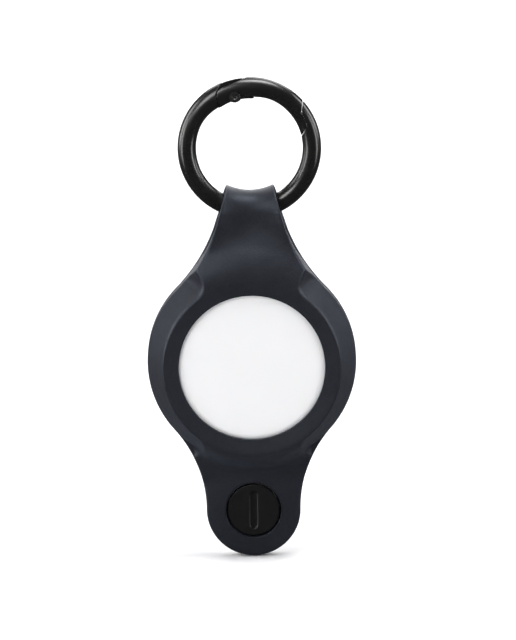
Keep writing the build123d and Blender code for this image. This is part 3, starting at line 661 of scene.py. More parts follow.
def holder_back_grids():
    """The back strap and panel, from just below the fold's axis to the tab."""
    window = sizes("holder").window_radius / MM + LIP
    top = FOLD_RISE - FOLD_FOOT
    segments = back_segments(top)
    outer = plan_columns(window, NUT_FLANGE, segments, top)
    inner = plan_columns(window, NUT_BORE, segments, top)
    half = half_chain(outer, inner, back_outer, back_inner, -1)
    outside = lip_curve(window, BACK_FACE, -1)
    inside = outside[::-1] * [1, -1] + [0, PANEL_INNER + BACK_FACE]
    seat = BACK_FACE - NUT_DEPTH
    bore = [[NUT_FLANGE, BACK_FACE], [NUT_FLANGE, seat], [NUT_BORE, seat], [NUT_BORE, PANEL_INNER]]
    return [
        half,
        turned_between(np.concatenate([outside, inside]), window_angles(), 0.0),
        turned_between(bore, hole_angles(), -LOCK_DROP),
        end_cap(half[0]),
    ]


# ---- the key ring ----
HINGE_ANGLE = math.degrees(math.atan2(RIVET_Z, RIVET_X))
HINGE_RADIUS = math.hypot(RIVET_X, RIVET_Z)
SWELL_ANGLE = 108.0
SWELL_SPAN = 50.0
NOSE_SHORT, NOSE_LONG = 12.85, 14.55
NOSE_STEP = (10.0, 6.2)
NOSE_DIRECTION = math.radians(-66.0)
GATE_GAP = 0.13
CHEEK_HEIGHT = 2.38
CHEEK_SLOPE = math.radians(22.5)
CHEEK_RIGHT = 0.5                # the cheeks are only cut left of this x
WIRE_STEPS = 96
RING_ROWS = 220
STEP_RADII = (11.79, 11.66)      # where the nose's step crosses the wire's front
KNUCKLE_SEARCH = 40.0            # degrees past the rivet that hold the knuckle's seam
NOSE_SEARCH = 60.0               # degrees from the right that hold the nose's seam
TONGUE_REACH, TONGUE_OUTSIDE, TONGUE_INSIDE = 3.65, 0.07, 9.45
TONGUE_FRONT, TONGUE_BACK, TONGUE_EASE = -0.70, -0.12, 0.05
SLOT_RADIUS, SLOT_HALF = 3.75, 0.75
SEAT_RADIUS, SEAT_FLOOR, SEAT_TOP = 1.10, 1.25, 3.0


def wire_section(angle, t):
    """Radius from the ring's centre and y of the wire's skin. The section is an ellipse,
    thickened inwards by a raised cosine about the gate hinge."""
    spread = np.abs((angle - SWELL_ANGLE + 180) % 360 - 180) / SWELL_SPAN
    swell = sizes("ring").swell / MM * 0.5 * (1 + np.cos(np.pi * np.minimum(1, spread)))
    middle = RING_MIDDLE - swell / 2
    return middle + (RING_WIRE + swell) / 2 * np.cos(t), RING_WIRE / 2 * np.sin(t)


def seam_distance(x, z, clearance):
    """Below zero inside the gate's outline grown by a clearance, in the ring's plane. The
    outline is the knuckle's circle and, right of it, two circles about the rivet with a step."""
    reach = np.hypot(x - RIVET_X, z - RIVET_Z)
    along = (math.cos(NOSE_DIRECTION), math.sin(NOSE_DIRECTION))
    side = (x - NOSE_STEP[0]) * -along[1] + (z - NOSE_STEP[1]) * along[0]
    long_nose = np.maximum(reach - NOSE_LONG - clearance, side - clearance)
    nose = np.minimum(long_nose, reach - NOSE_SHORT - clearance)
    knuckle = reach - sizes("ring").knuckle_radius / MM - clearance
    return knuckle, nose


def seam_angle(t, low, high, clearance, which):
    """Angle where each line along the wire meets a seam, by halving the interval."""
    low, high = np.full_like(t, low), np.full_like(t, high)
    for _ in range(40):
        middle = (low + high) / 2
        radius, _y = wire_section(middle, t)
        a = np.radians(middle)
        value = seam_distance(radius * np.cos(a), radius * np.sin(a), clearance)[which]
        inside = value < 0
        if which == 0:
            low, high = np.where(inside, middle, low), np.where(inside, high, middle)
        else:
            low, high = np.where(inside, low, middle), np.where(inside, middle, high)
    return (low + high) / 2


def wire_angles():
    """Angles round the wire's section, closer together where the nose's step crosses."""
    t = np.linspace(0, 2 * np.pi, WIRE_STEPS, endpoint=False)
    extra = []
    for radius in STEP_RADII:
        a = math.acos((radius - RING_MIDDLE) / (RING_WIRE / 2))
        extra += [a, 2 * math.pi - a]
    return np.sort(np.concatenate([t, extra]))


def eased_sweep(start, end, t, rows):
    """The wire between two seams as a grid. Near each end the section shrinks by
    r - sqrt(r^2 - (r - d)^2), which rounds the seam's edge by r."""
    ease = sizes("ring").seam_ease / MM
    body = np.linspace(0, 1, rows)[:, None]
    step = np.degrees(ease / RING_MIDDLE)
    lead = np.linspace(0, 1, 5)[:-1, None] * step
    angle = start[None, :] + (end - start)[None, :] * body
    sign = np.sign(end - start)[None, :]
    inner = angle[0:1] + sign * lead
    outer = angle[-1:] - sign * lead[::-1]
    between = end - start - 2 * sign[0] * step
    middle = start[None, :] + sign * step + between[None, :] * body
    angle = np.concatenate([inner, middle, outer])
    near = np.minimum(np.abs(angle - start[None, :]), np.abs(angle - end[None, :]))
    d = np.minimum(np.radians(near) * RING_MIDDLE, ease)
    shrink = ease - np.sqrt(np.maximum(ease**2 - (ease - d) ** 2, 0))
    radius, y = wire_section(angle, t[None, :])
    centre = wire_section(angle, np.pi / 2 + 0 * t[None, :])[0]
    kept = 1 - shrink / (RING_WIRE / 2)
    radius = centre + (radius - centre) * kept
    y = y * kept
    a = np.radians(angle)
    return np.stack([radius * np.cos(a), y, radius * np.sin(a)], -1)


def seam_cap(loop):
    """The flat of a seam, ruled along Y between the section's front and back points."""
    half = len(loop) // 2
    front = loop[: half + 1]
    back = np.concatenate([loop[:1], loop[::-1][:half]])
    return np.stack([front, back])


def cut_cheeks(grid):
    """Flattens the gate's hinge end: points beyond a sloping plane move onto it."""
    normal = np.array([-math.sin(CHEEK_SLOPE), 0.0, math.cos(CHEEK_SLOPE)])
    height = (grid - np.array([RIVET_X, 0.0, RIVET_Z])) @ normal
    over = np.maximum(height - CHEEK_HEIGHT, 0) * (grid[..., 0] < CHEEK_RIGHT)
    return grid - over[..., None] * normal


def drum(x, z, radius, low, high, count=96):
    """A closed round plug about a Y line, for cutting holes and slots."""
    profile = [(0, low), (radius, low), (radius, high), (0, high)]
    return turned(profile, count, z, x)


def cut(piece, cutters):
    """Subtracts closed cutter pieces and keeps the result in the piece's own mesh."""
    for grids in cutters:
        tool = make_piece("cutter", grids)
        step = piece.modifiers.new("cut", "BOOLEAN")
        step.operation, step.solver, step.object = "DIFFERENCE", "EXACT", tool
        bpy.context.view_layer.update()
        result = piece.evaluated_get(bpy.context.evaluated_depsgraph_get())
        made = bpy.data.meshes.new_from_object(result)
        piece.modifiers.clear()
        old, piece.data = piece.data, made
        bpy.data.meshes.remove(old)
        bpy.data.objects.remove(tool)
    piece.data.polygons.foreach_set("use_smooth", np.ones(len(piece.data.polygons), bool))
    piece.data.set_sharp_from_angle(angle=math.radians(35))
    return piece


def tongue_grids():
    """The fixed tongue of the hinge: a plate about the rivet whose edge is the nearer of its
    own circle and the wire's inner and outer circles."""
    around = np.linspace(0, 2 * np.pi, 180, endpoint=False)
    ux, uz = np.cos(around), np.sin(around)
    along = RIVET_X * ux + RIVET_Z * uz
    outside = (RING_OUTER - TONGUE_OUTSIDE) ** 2
    outer = -along + np.sqrt(along**2 - HINGE_RADIUS**2 + outside)
    square = along**2 - HINGE_RADIUS**2 + TONGUE_INSIDE**2
    meets = (along < 0) & (square > 0)
    inner = np.where(meets, -along - np.sqrt(np.maximum(square, 0)), np.inf)
    reach = np.minimum(np.minimum(outer, inner), TONGUE_REACH)
    rows = []
    for share_out, away, y in (
        (0, 0.0, TONGUE_FRONT), (1, TONGUE_EASE, TONGUE_FRONT),
        (1, 0.0, TONGUE_FRONT + TONGUE_EASE), (1, 0.0, TONGUE_BACK - TONGUE_EASE),
        (1, TONGUE_EASE, TONGUE_BACK), (0, 0.0, TONGUE_BACK),
    ):
        r = share_out * (reach - away)
        rows.append(np.stack([RIVET_X + r * ux, np.full_like(ux, y), RIVET_Z + r * uz], -1))
    return [(np.array(rows), True)]


# ---- smaller turned and moulded pieces ----
SHELL_WALL, COVER_WALL = 0.9, 0.4
LUG_ANGLES = (90.0, 210.0, 330.0)
LUG_HALF, LUG_ROOT, LUG_REACH, LUG_THICK = 10.0, 0.1, 0.9, 0.5


def wire_sweep(clearance, whole_turns, rows):
    """The wire from the knuckle's seam to the nose's seam, as a grid."""
    t = wire_angles()
    start = seam_angle(t, HINGE_ANGLE, HINGE_ANGLE + KNUCKLE_SEARCH, clearance, 0)
    end = seam_angle(t, 0.0, NOSE_SEARCH, clearance, 1) + 360 * whole_turns
    return eased_sweep(start, end, t, rows)


def capped(sweep):
    """A swept wire with both of its ends closed."""
    return [(sweep, True), (seam_cap(sweep[0]), False), (seam_cap(sweep[-1]), False)]


def ring_body_piece():
    """The fixed part of the ring, from the knuckle seam round to the nose seam."""
    grids = capped(wire_sweep(GATE_GAP, 1, RING_ROWS))
    return make_piece("ring_body_skin", grids + tongue_grids(), sharp=35)


def ring_gate_piece():
    """The hinged part of the ring, with its slot and its rivet seats."""
    grids = capped(cut_cheeks(wire_sweep(0.0, 0, RING_ROWS // 2)))
    gate = make_piece("ring_gate_skin", grids, sharp=35)
    slot = drum(RIVET_X, RIVET_Z, SLOT_RADIUS, -SLOT_HALF, SLOT_HALF)
    front = drum(RIVET_X, RIVET_Z, SEAT_RADIUS, -SEAT_TOP, -SEAT_FLOOR, 64)
    back = drum(RIVET_X, RIVET_Z, SEAT_RADIUS, SEAT_FLOOR, SEAT_TOP, 64)
    return cut(gate, [[(tool, True)] for tool in (slot, front, back)])


def rivet_piece():
    """The rivet: two domed heads with a pressed dimple, joined by a shank."""
    head, shank, face = 1.05, 0.6, RIVET_HIGH[1]
    dimple, rim, inside = face - 0.16, face - 0.04, face - 0.3
    outer = rounded(
        [(0, -dimple), (0.38, -dimple), (0.52, -face), (head, -rim), (head, -inside)],
        [0.06, 0.10, 0.10],
    )
    line = np.concatenate([outer, [(shank, -inside), (shank, inside)], (outer * [1, -1])[::-1]])
    return make_piece("gate_rivet_skin", [(turned(line, 64, RIVET_Z, RIVET_X), True)], sharp=40)


def shell_curve(grow, count=60):
    """Half section of the white shell: a shallow parabola carried into an elliptical shoulder."""
    flat = SHELL_RADIUS - SHOULDER_WIDTH
    width, depth = SHOULDER_WIDTH + grow, SHOULDER_DEPTH + grow
    front = SHELL_FRONT - grow
    dome = np.linspace(0.0, flat, count // 2)
    first = np.stack([dome, front + SHELL_FALL * (dome / flat) ** 2], 1)
    a = np.linspace(0, np.pi / 2, count)[1:]
    radius = flat + width * np.sin(a)
    second = np.stack([radius, front + SHELL_FALL + depth * (1 - np.cos(a))], 1)
    return np.concatenate([first, second])


def shell_piece():
    """The tracker's white shell, turned from its outer and inner curves."""
    outer = shell_curve(0.0)
    inner = shell_curve(-SHELL_WALL)
    corners = [(SHELL_RADIUS, SHELL_BACK), (SHELL_RADIUS - SHELL_WALL, SHELL_BACK)]
    rim = rounded([outer[-1], *corners, inner[-1]], [0.15, 0.15])
    line = np.concatenate([outer, rim[1:-1], inner[::-1]])
    return make_piece("tracker_shell_skin", [(turned(line, 160, TRACKER_Z), True)], sharp=40)


def cover_piece():
    """The steel cover: a shallow dished face, a rolled edge, its wall and three inward lugs."""
    radius, back, front = COVER_HIGH[0], COVER_HIGH[1], COVER_LOW[1]
    inside, floor, face = radius - COVER_WALL, back - COVER_WALL, back - 0.06
    line = rounded(
        [
            (0, face), (radius * 0.80, face), (radius * 0.86, back), (radius, back),
            (radius, front), (inside, front), (inside, floor), (0, floor),
        ],
        [2.0, 2.0, 1.2, 0.12, 0.12, 0.8],
        10,
    )
    grids = [(turned(line, 160, TRACKER_Z), True)]
    for centre in LUG_ANGLES:
        grids += lug_grids(centre, inside, front)
    return make_piece("battery_cover_skin", grids, sharp=40)


def lug_grids(centre, bore, front):
    """One bayonet lug: a slab between two radii, centred on an angle."""
    a = np.radians(np.linspace(centre - LUG_HALF, centre + LUG_HALF, 12))
    root, tip, top = bore + LUG_ROOT, bore - LUG_REACH, front + LUG_THICK
    loop = np.array([(root, front), (tip, front), (tip, top), (root, top)])
    radius, depth = loop[:, :1], np.broadcast_to(loop[:, 1:], (len(loop), len(a)))
    grid = np.stack([radius * np.cos(a), depth, TRACKER_Z + radius * np.sin(a)], -1)
    ends = [np.stack([grid[:2, i], grid[:1:-1, i]], 0) for i in (0, -1)]
    sides = np.concatenate([grid, grid[:1]], 0)
    return [(sides, False), (ends[0], False), (ends[1], False)]


def screw_face(core, normal, half_width, depth, head):
    """Rows of (plan points, depth) from the slot's centre line, over its lips, to the head."""
    lips = (
        (0, depth), (half_width - 0.12, depth), (half_width - 0.03, depth - 0.03),
        (half_width, depth - 0.12), (half_width, 0.18), (half_width + 0.03, 0.16),
        (half_width + 0.10, 0.08), (half_width + 0.19, 0.03), (half_width + 0.30, 0.0),
    )
    rows = [(core + normal * away, y) for away, y in lips]
    edge = rows[-1][0]
    for k in np.linspace(0, 1, 12)[1:]:
        rows.append((edge + (normal * head - edge) * k, 0.0))
    return rows


def screw_piece():
    """The coin-slot lock screw. Its face is ruled from the slot's centre line, over the slot's
    rounded lips, to the head's edge; the slot's border is a line with two half circles."""
    p = sizes("lock")
    front, tip, head = SCREW_LOW[1], SCREW_HIGH[1], SCREW_HIGH[0]
    half_width = p.slot_width / MM / 2
    straight = p.slot_length / MM / 2 - half_width
    flat, under, shank = head - 0.22, front + 0.8, 1.6
    a = np.linspace(0, 2 * np.pi, 180, endpoint=False)
    core = np.stack([0 * a, straight * np.clip(np.cos(a) * 6, -1, 1)], 1)
    normal = np.stack([np.sin(a), np.cos(a)], 1)
    side = rounded(
        [(flat, front), (head, front), (head, under), (shank, under), (shank, tip), (0, tip)],
        [0.14, 0.08, 0.10, 0.15],
    )
    face = screw_face(core, normal, half_width, p.slot_depth / MM, flat)
    plans = [(plan, front + y) for plan, y in face]
    plans += [(radius * normal, y) for radius, y in side[1:]]
    rows = [np.stack([q[:, 0], np.full_like(a, y), LOCK_Z + q[:, 1]], 1) for q, y in plans]
    return make_piece("lock_screw_skin", [(np.array(rows), True)], sharp=40)


def nut_piece():
    """The lock's blind nut: a flange with a raised bead and a shallow centre, and a barrel."""
    back, flange, barrel, tip = NUT_HIGH[1], NUT_HIGH[0], 2.6, NUT_LOW[1]
    centre, under, floor, bore = back - 0.15, back - NUT_DEPTH, back - 0.5, 1.75
    line = rounded(
        [
            (0, centre), (2.9, centre), (3.2, back), (flange, back), (flange, under),
            (barrel, under), (barrel, tip), (bore, tip), (bore, floor), (0, floor),
        ],
        [0.2, 0.15, 0.15, 0.08, 0.1, 0.1, 0.1, 0.1],
    )
    return make_piece("lock_nut_skin", [(turned(line, 96, LOCK_Z), True)], sharp=40)


# ---- finishes ----
class Recipe:
    """A material under construction: its nodes, links and shader."""

    def __init__(self, name):
        self.material = bpy.data.materials.new(name)
        self.material.use_nodes = True
        self.nodes = self.material.node_tree.nodes
        self.links = self.material.node_tree.links
        self.shader = self.nodes["Principled BSDF"]
        self.place = self.nodes.new("ShaderNodeTexCoord")

    def noise(self, scale, detail=2.0, stretch=None):
        """A noise value on Object coordinates, per metre, stretched along an axis if given."""
        node = self.nodes.new("ShaderNodeTexNoise")
        node.inputs["Scale"].default_value = scale
        node.inputs["Detail"].default_value = detail
        source = self.place.outputs["Object"]
        if stretch is not None:
            mapping = self.nodes.new("ShaderNodeMapping")
            mapping.inputs["Scale"].default_value = stretch
            self.links.new(source, mapping.inputs["Vector"])
            source = mapping.outputs["Vector"]
        self.links.new(source, node.inputs["Vector"])
        return node.outputs["Fac"]

    def between(self, value, low, high, start=0.3, stop=0.7):
        """A value mapped from start..stop to low..high."""
        node = self.nodes.new("ShaderNodeMapRange")
        sockets = ("From Min", "From Max", "To Min", "To Max")
        for socket, number in zip(sockets, (start, stop, low, high)):
            node.inputs[socket].default_value = number
        self.links.new(value, node.inputs["Value"])
        return node.outputs["Result"]

    def blend(self, factor, first, second):
        """A colour mixed from one to the other, on the mix node's colour sockets."""
        node = self.nodes.new("ShaderNodeMix")
        node.data_type = "RGBA"
        self.links.new(factor, node.inputs["Factor"])
        for socket, value in ((node.inputs[6], first), (node.inputs[7], second)):
            if isinstance(value, bpy.types.NodeSocket):
                self.links.new(value, socket)
            else:
                socket.default_value = (*value, 1.0)
        return node.outputs[2]

    def bump(self, layers):
        """Adds (height value, distance in metres) layers to the surface's normal."""
        last = None
        for value, distance in layers:
            node = self.nodes.new("ShaderNodeBump")
            node.inputs["Distance"].default_value = distance
            node.inputs["Strength"].default_value = 1.0
            self.links.new(value, node.inputs["Height"])
            if last is not None:
                self.links.new(last, node.inputs["Normal"])
            last = node.outputs["Normal"]
        self.links.new(last, self.shader.inputs["Normal"])

    def set(self, **values):
        """Plain numbers and colours on the shader, or a link for colour and roughness."""
        for key, value in values.items():
            socket = self.shader.inputs[key.replace("_", " ")]
            if isinstance(value, bpy.types.NodeSocket):
                self.links.new(value, socket)
            elif isinstance(value, (tuple, list)):
                socket.default_value = (*value, 1.0)
            else:
                socket.default_value = value
        return self


def tint(base, factor):
    """A colour made lighter or darker."""
    return tuple(min(1.0, c * factor) for c in base)


def silicone_finish():
    """Satin silicone: fine moulded grain, faint mottling and slightly polished patches."""
    f = sizes("finishes")
    base = tuple(f.silicone)
    r = Recipe("satin_silicone")
    mottle = r.between(r.noise(90.0, 3.0), 0.0, 1.0)
    fine = r.noise(3800.0, 3.0)
    speck = r.between(fine, 0.0, 1.0, 0.35, 0.75)
    body = r.blend(mottle, tint(base, 0.90), tint(base, 1.12))
    colour_out = r.blend(speck, body, tint(base, 1.45))
    gloss = f.silicone_roughness
    rough = r.between(r.noise(300.0, 3.0), gloss - 0.05, gloss + 0.06)
    r.set(Base_Color=colour_out, Roughness=rough, IOR=1.43)
    r.set(Specular_IOR_Level=0.5, Specular_Tint=(0.74, 0.84, 1.0))
    r.set(Sheen_Weight=0.06, Sheen_Roughness=0.45, Sheen_Tint=(0.55, 0.65, 0.90))
    r.bump([(r.noise(700.0, 2.0), 0.00003), (fine, 0.000028)])
    return r.material


def plated_finish(name, base, rough, metal=1.0):
    """Glossy plated metal: faint orange peel, hairline polish marks and worn spots."""
    r = Recipe(name)
    worn = r.between(r.noise(420.0, 4.0), 0.0, 1.0, 0.55, 0.80)
    colour_out = r.blend(worn, base, tint(base, 1.8))
    smear = r.between(r.noise(160.0, 3.0), rough * 0.8, rough * 1.35)
    r.set(Base_Color=colour_out, Metallic=metal, Roughness=smear)
    hair = r.noise(900.0, 2.0, (1.0, 6.0, 1.0))
    r.bump([(r.noise(260.0, 2.0), 0.000004), (hair, 0.0000003)])
    return r


def ring_finish():
    """Black plating under a clear gloss."""
    r = plated_finish("black_plating", tuple(sizes("finishes").ring), 0.27, 0.0)
    r.set(IOR=1.6, Specular_IOR_Level=0.5, Coat_Weight=0.30, Coat_Roughness=0.20, Coat_IOR=1.5)
    return r.material


def shell_finish():
    """White polished plastic with very faint moulding waves."""
    base = tuple(sizes("finishes").shell)
    r = Recipe("white_plastic")
    cloud = r.between(r.noise(60.0, 2.0), 0.0, 1.0)
    colour_out = r.blend(cloud, tint(base, 0.985), base)
    rough = r.between(r.noise(220.0, 3.0), 0.16, 0.22)
    r.set(Base_Color=colour_out, Roughness=rough, IOR=1.49)
    r.set(Subsurface_Weight=0.06, Subsurface_Scale=0.001, Coat_Weight=0.25, Coat_Roughness=0.08)
    r.bump([(r.noise(140.0, 1.0), 0.000006)])
    return r.material


def plastic_finish(name, base, rough, grain=2600.0, depth=0.000018):
    """Moulded plastic: spark-eroded grain, faint mottling and uneven gloss."""
    r = Recipe(name)
    mottle = r.between(r.noise(240.0, 3.0), 0.0, 1.0)
    colour_out = r.blend(mottle, tint(base, 0.88), tint(base, 1.15))
    uneven = r.between(r.noise(500.0, 3.0), rough - 0.06, rough + 0.06)
    r.set(Base_Color=colour_out, Roughness=uneven)
    r.bump([(r.noise(grain, 3.0), depth)])
    return r.material


def turned_metal_finish(name, base, rough, centre_z):
    """Metal turned in circles about a level axis at a height: fine concentric lines."""
    r = Recipe(name)
    mapping = r.nodes.new("ShaderNodeMapping")
    mapping.inputs["Location"].default_value = (0.0, 0.0, -centre_z * MM)
    mapping.inputs["Scale"].default_value = (1.0, 0.0, 1.0)
    r.links.new(r.place.outputs["Object"], mapping.inputs["Vector"])
    size = r.nodes.new("ShaderNodeVectorMath")
    size.operation = "LENGTH"
    r.links.new(mapping.outputs["Vector"], size.inputs[0])
    lines = r.nodes.new("ShaderNodeTexNoise")
    lines.noise_dimensions = "1D"
    lines.inputs["Scale"].default_value = 9000.0
    lines.inputs["Detail"].default_value = 2.0
    r.links.new(size.outputs["Value"], lines.inputs["W"])
    spots = r.between(r.noise(350.0, 4.0), 0.0, 1.0, 0.45, 0.8)
    colour_out = r.blend(spots, base, tint(base, 0.82))
    r.set(Base_Color=colour_out, Metallic=1.0)
    r.set(Roughness=r.between(lines.outputs["Fac"], rough * 0.75, rough * 1.4))
    r.bump([(lines.outputs["Fac"], 0.0000016)])
    return r.material


def board_finish():
    """Green solder mask over copper tracks: fine right-angled lines under a satin film."""
    r = Recipe("solder_mask")
    brick = r.nodes.new("ShaderNodeTexBrick")
    brick.inputs["Scale"].default_value = 900.0
    brick.inputs["Mortar Size"].default_value = 0.03
    brick.inputs["Color1"].default_value = (0.008, 0.050, 0.028, 1)
    brick.inputs["Color2"].default_value = (0.010, 0.060, 0.034, 1)
    brick.inputs["Mortar"].default_value = (0.020, 0.120, 0.060, 1)
    turn = r.nodes.new("ShaderNodeMapping")
    turn.inputs["Rotation"].default_value = (math.pi / 2, 0.0, 0.0)
    r.links.new(r.place.outputs["Object"], turn.inputs["Vector"])
    r.links.new(turn.outputs["Vector"], brick.inputs["Vector"])
    r.set(Base_Color=brick.outputs["Color"], Roughness=r.between(r.noise(900.0, 3.0), 0.28, 0.42))
    r.bump([(brick.outputs["Fac"], 0.00001)])
    return r.material


def foam_finish():
    """Open-cell black foam, with painted shade in the cells' pits."""
    r = Recipe("black_foam")
    cell = r.nodes.new("ShaderNodeTexVoronoi")
    cell.inputs["Scale"].default_value = 5000.0
    r.links.new(r.place.outputs["Object"], cell.inputs["Vector"])
    # painted shade: the colour darkens towards each cell's centre, where the bump below sinks into
    # a pit
    painted_pit_shade = r.between(cell.outputs["Distance"], 0.0, 1.0, 0.0, 0.6)
    r.set(Base_Color=r.blend(painted_pit_shade, (0.006, 0.006, 0.006), (0.030, 0.030, 0.030)), Roughness=0.9)
    r.bump([(cell.outputs["Distance"], 0.00006)])
    return r.material


def all_finishes():
    """Every finish by the record's slot name."""
    f = sizes("finishes")
    steel = tuple(f.steel)
    rivet = plated_finish("rivet_plating", tint(tuple(f.ring), 2.0), 0.24, 0.0)
    rivet.set(IOR=1.9, Coat_Weight=0.5, Coat_Roughness=0.12)
    return {
        "ring_metal": ring_finish(),
        "rivet_metal": rivet.material,
        "spring_steel": plated_finish("spring_wire", (0.30, 0.30, 0.32), 0.28).material,
        "silicone": silicone_finish(),
        "lock_plastic": plastic_finish("black_lock_plastic", tuple(f.lock), 0.42, 3800.0, 0.000008),
        "washer_plastic": plastic_finish("washer_nylon", (0.62, 0.60, 0.54), 0.45),
        "white_shell": shell_finish(),
        "cover_steel": turned_metal_finish("polished_cover", steel, 0.16, TRACKER_Z),
        "cell_steel": turned_metal_finish("cell_can", tint(steel, 0.92), 0.26, TRACKER_Z),
        "copper": plated_finish("enamelled_copper", (0.60, 0.22, 0.10), 0.34).material,
        "magnet_nickel": plated_finish("nickel_magnet", (0.56, 0.55, 0.52), 0.22).material,
        "yoke_steel": plated_finish("yoke_steel", (0.42, 0.42, 0.43), 0.36).material,
        "board_green": board_finish(),
        "frame_plastic": plastic_finish("frame_plastic", (0.020, 0.020, 0.021), 0.55),
        "foam": foam_finish(),
        "contact_metal": plated_finish("gilt_contact", (0.78, 0.56, 0.24), 0.25).material,
        "carrier_plastic": plastic_finish("carrier_plastic", (0.70, 0.69, 0.66), 0.48),
        "shield_metal": plated_finish("shield_can", (0.50, 0.50, 0.51), 0.32).material,
        "chip_black": plastic_finish("chip_epoxy", (0.012, 0.012, 0.013), 0.62, 5200.0, 0.000012),
        "ferrite": plastic_finish("ferrite_block", (0.045, 0.042, 0.040), 0.68, 3000.0, 0.00003),
    }


def finish_for(slot):
    """The finish made for a slot."""
    return bpy.data.materials[bpy.context.scene["tag_finishes"][slot]]


# ---- operators ----
def stand_in(make, node, body, slot):
    """Makes a piece, dresses it and lets it ride a body in place of a node."""
    piece = dress(make(), slot)
    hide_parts(node)
    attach(piece, body)


class TAG_OT_finishes(bpy.types.Operator):
    """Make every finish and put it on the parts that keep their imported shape"""

    bl_idname = "tracker_tag.finishes"
    bl_label = "Finishes"

    def execute(self, context):
        made = all_finishes()
        context.scene["tag_finishes"] = {slot: m.name for slot, m in made.items()}
        for row in frame["record"]["subparts"]:
            node = frame["nodes"][row["node"]]
            node.data.materials.clear()
            node.data.materials.append(made[row["material_slot"]])
        return {"FINISHED"}


class TAG_OT_holder(bpy.types.Operator):
    """Make the front moulding with its fold, and the back strap and panel"""

    bl_idname = "tracker_tag.holder"
    bl_label = "Silicone holder"

    def execute(self, context):
        for name, grids, node in (
            ("holder_front_skin", holder_front_grids(), "holder_front"),
            ("holder_back_skin", holder_back_grids(), "holder_back"),
        ):
            both = [(lifted(g, TRACKER_Z), False) for g in grids]
            both += [(lifted(mirrored(g), TRACKER_Z), False) for g in grids]
            piece = dress(make_piece(name, both, sharp=50), "silicone")
            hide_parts(node)
            if node == "holder_front":
                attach(piece, "holder")
        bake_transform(bpy.data.objects["holder_back_skin"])
        return {"FINISHED"}


class TAG_OT_ring(bpy.types.Operator):
    """Make the key ring, its gate and its rivet"""

    bl_idname = "tracker_tag.ring"
    bl_label = "Key ring"

    def execute(self, context):
        stand_in(ring_body_piece, "ring_body", "ring", "ring_metal")
        stand_in(ring_gate_piece, "ring_gate", "gate", "ring_metal")
        stand_in(rivet_piece, "gate_rivet", "ring", "rivet_metal")
        return {"FINISHED"}


class TAG_OT_tracker(bpy.types.Operator):
    """Make the tracker's white shell and its steel cover"""

    bl_idname = "tracker_tag.tracker"
    bl_label = "Tracker"

    def execute(self, context):
        stand_in(shell_piece, "tracker_shell", "holder", "white_shell")
        stand_in(cover_piece, "battery_cover", "cover", "cover_steel")
        return {"FINISHED"}


class TAG_OT_lock(bpy.types.Operator):
    """Make the coin-slot screw and its blind nut"""

    bl_idname = "tracker_tag.lock"
    bl_label = "Lock"

    def execute(self, context):
        stand_in(screw_piece, "lock_screw", "screw", "lock_plastic")
        stand_in(nut_piece, "lock_nut", "back_panel", "lock_plastic")
        return {"FINISHED"}


class TAG_OT_stage(bpy.types.Operator):
    """Make the backdrop, the lights and the camera"""

    bl_idname = "tracker_tag.stage"
    bl_label = "Stage"

    def execute(self, context):
        make_backdrop()
        make_lights()
        make_camera()
        set_look()
        return {"FINISHED"}


TAG_MIDDLE = (0.0, 0.0, -35.0)
FLOOR_BEHIND = (0.0, 600.0, -78.0)
FLOOR_RINGS = (0.0, 300.0, 1500.0, 8000.0)
LIGHTS = (
    # name, place, aim, size, watts
    ("overhead", (120.0, -160.0, 800.0), TAG_MIDDLE, (600.0, 300.0), 6.2),
    ("rear", (0.0, 900.0, 900.0), FLOOR_BEHIND, (1600.0, 700.0), 11.0),
    ("front", (-560.0, -860.0, 560.0), TAG_MIDDLE, (480.0, 480.0), 4.6),
    ("right", (600.0, 60.0, 240.0), TAG_MIDDLE, (220.0, 500.0), 1.8),
    ("left", (-600.0, 60.0, 150.0), TAG_MIDDLE, (220.0, 500.0), 2.0),
    ("right_strip", (560.0, -260.0, 0.0), TAG_MIDDLE, (120.0, 420.0), 1.0),
    ("left_strip", (-560.0, -260.0, 0.0), TAG_MIDDLE, (120.0, 420.0), 1.2),
    ("back_fill", (0.0, 900.0, 150.0), TAG_MIDDLE, (500.0, 500.0), 3.0),
)
VIEW_HEIGHT = 120.1              # millimetres in view along the picture's longer side
AIM_RIGHT, AIM_DOWN = 1.623, 32.33
SENSOR = 36.0


def make_backdrop():
    """A pale level floor: rings of points about the vertical through the tag."""
    base = tuple(sizes("stage").backdrop)
    radius = np.array(FLOOR_RINGS)[:, None]
    a = np.linspace(0, 2 * np.pi, 96, endpoint=False)[None, :]
    level = np.full((len(radius), a.size), CAD_BOX[0][2] / MM - FLOOR_DROP)
    rings = np.stack([radius * np.cos(a), radius * np.sin(a), level], -1)
    sheet = make_piece("floor", [(rings, True)])
    r = Recipe("pale_paper")
    cloud = r.between(r.noise(30.0, 2.0), 0.0, 1.0)
    r.set(Base_Color=r.blend(cloud, tint(base, 0.985), base), Roughness=0.9)
    sheet.data.materials.append(r.material)
    sheet.visible_glossy = False


def area_light(name, place, target, size, power):
    """A rectangular soft light aimed at a point, in millimetres and watts."""
    data = bpy.data.lights.new(name, "AREA")
    data.shape = "RECTANGLE"
    data.size, data.size_y = size[0] * MM, size[1] * MM
    data.energy = power
    lamp = bpy.data.objects.new(name, data)
    bpy.context.scene.collection.objects.link(lamp)
    lamp.visible_camera = False
    lamp.location = Vector(place) * MM
    lamp.rotation_euler = (Vector(target) - Vector(place)).to_track_quat("-Z", "Y").to_euler()


def make_lights():
    """Every soft light, and an even dim surround."""
    for light in LIGHTS:
        area_light(*light)
    world = bpy.data.worlds.new("studio")
    world.use_nodes = True
    surround = world.node_tree.nodes["Background"]
    surround.inputs["Color"].default_value = (1.0, 1.0, 1.0, 1.0)
    surround.inputs["Strength"].default_value = sizes("stage").surround
    bpy.context.scene.world = world


def set_look():
    """Plain display colours, so that the pale floor stays white."""
    bpy.context.scene.view_settings.view_transform = "Standard"


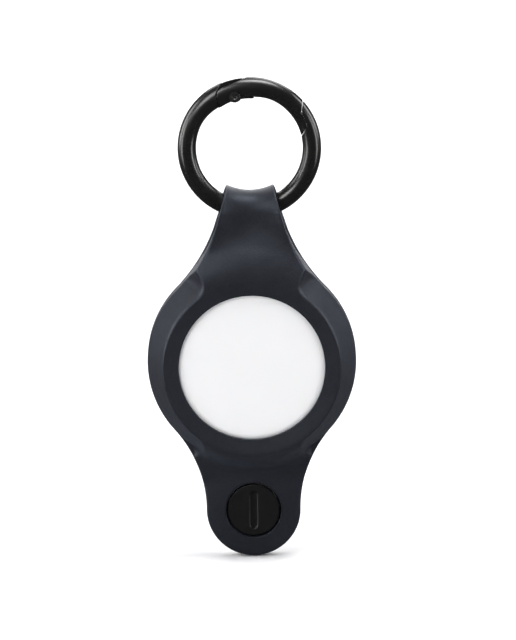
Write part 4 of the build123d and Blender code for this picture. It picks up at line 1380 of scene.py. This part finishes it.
def make_camera():
    """A long lens a little above the tag, leaning slightly, aimed so that the tag sits
    left of the middle and the ring near the top."""
    s = sizes("stage")
    distance, e, roll = s.camera_distance, s.elevation, s.roll
    ahead = Vector((0, math.cos(e), -math.sin(e)))
    right, up = Vector((1, 0, 0)), Vector((0, math.sin(e), math.cos(e)))
    side = right * math.cos(roll) - up * math.sin(roll)
    top = up * math.cos(roll) + right * math.sin(roll)
    data = bpy.data.cameras.new("camera")
    data.sensor_width = SENSOR
    data.lens = SENSOR * distance / (VIEW_HEIGHT * MM)
    data.clip_start, data.clip_end = 0.05, 20.0
    camera = bpy.data.objects.new("camera", data)
    bpy.context.scene.collection.objects.link(camera)
    place = side * (AIM_RIGHT * MM) - top * (AIM_DOWN * MM) - ahead * distance
    turn = Matrix((side, top, -ahead)).transposed().to_4x4()
    camera.matrix_world = Matrix.Translation(place) @ turn
    bpy.context.scene.camera = camera


OPERATORS = (TAG_OT_finishes, TAG_OT_holder, TAG_OT_ring, TAG_OT_tracker, TAG_OT_lock, TAG_OT_stage)


class TAG_PT_panel(bpy.types.Panel):
    """Every piece of the tracker tag"""

    bl_idname = "TAG_PT_panel"
    bl_label = "Tracker Tag"
    bl_space_type = "VIEW_3D"
    bl_region_type = "UI"
    bl_category = "Tracker Tag"

    def draw(self, context):
        for kind in OPERATORS:
            self.layout.operator(kind.bl_idname)
        for name in GROUPS:
            group = sizes(name)
            box = self.layout.box()
            for key in group.bl_rna.properties.keys():
                if key not in ("rna_type", "name"):
                    box.prop(group, key)


def classes():
    """Every class that Blender has to know, in order."""
    return (*GROUPS.values(), *OPERATORS, TAG_PT_panel)


def register():
    """Registers the classes and puts the sizes on the scene."""
    for kind in classes():
        bpy.utils.register_class(kind)
    for name, kind in GROUPS.items():
        setattr(bpy.types.Scene, "tracker_tag_" + name, bpy.props.PointerProperty(type=kind))


def unregister():
    """Takes the sizes and the classes away again."""
    for name in GROUPS:
        delattr(bpy.types.Scene, "tracker_tag_" + name)
    for kind in reversed(classes()):
        bpy.utils.unregister_class(kind)


def main():
    """Builds everything in order."""
    register()
    bpy.ops.tracker_tag.finishes()
    bpy.ops.tracker_tag.holder()
    bpy.ops.tracker_tag.ring()
    bpy.ops.tracker_tag.tracker()
    bpy.ops.tracker_tag.lock()
    bpy.ops.tracker_tag.stage()


if __name__ == "__main__":
    main()
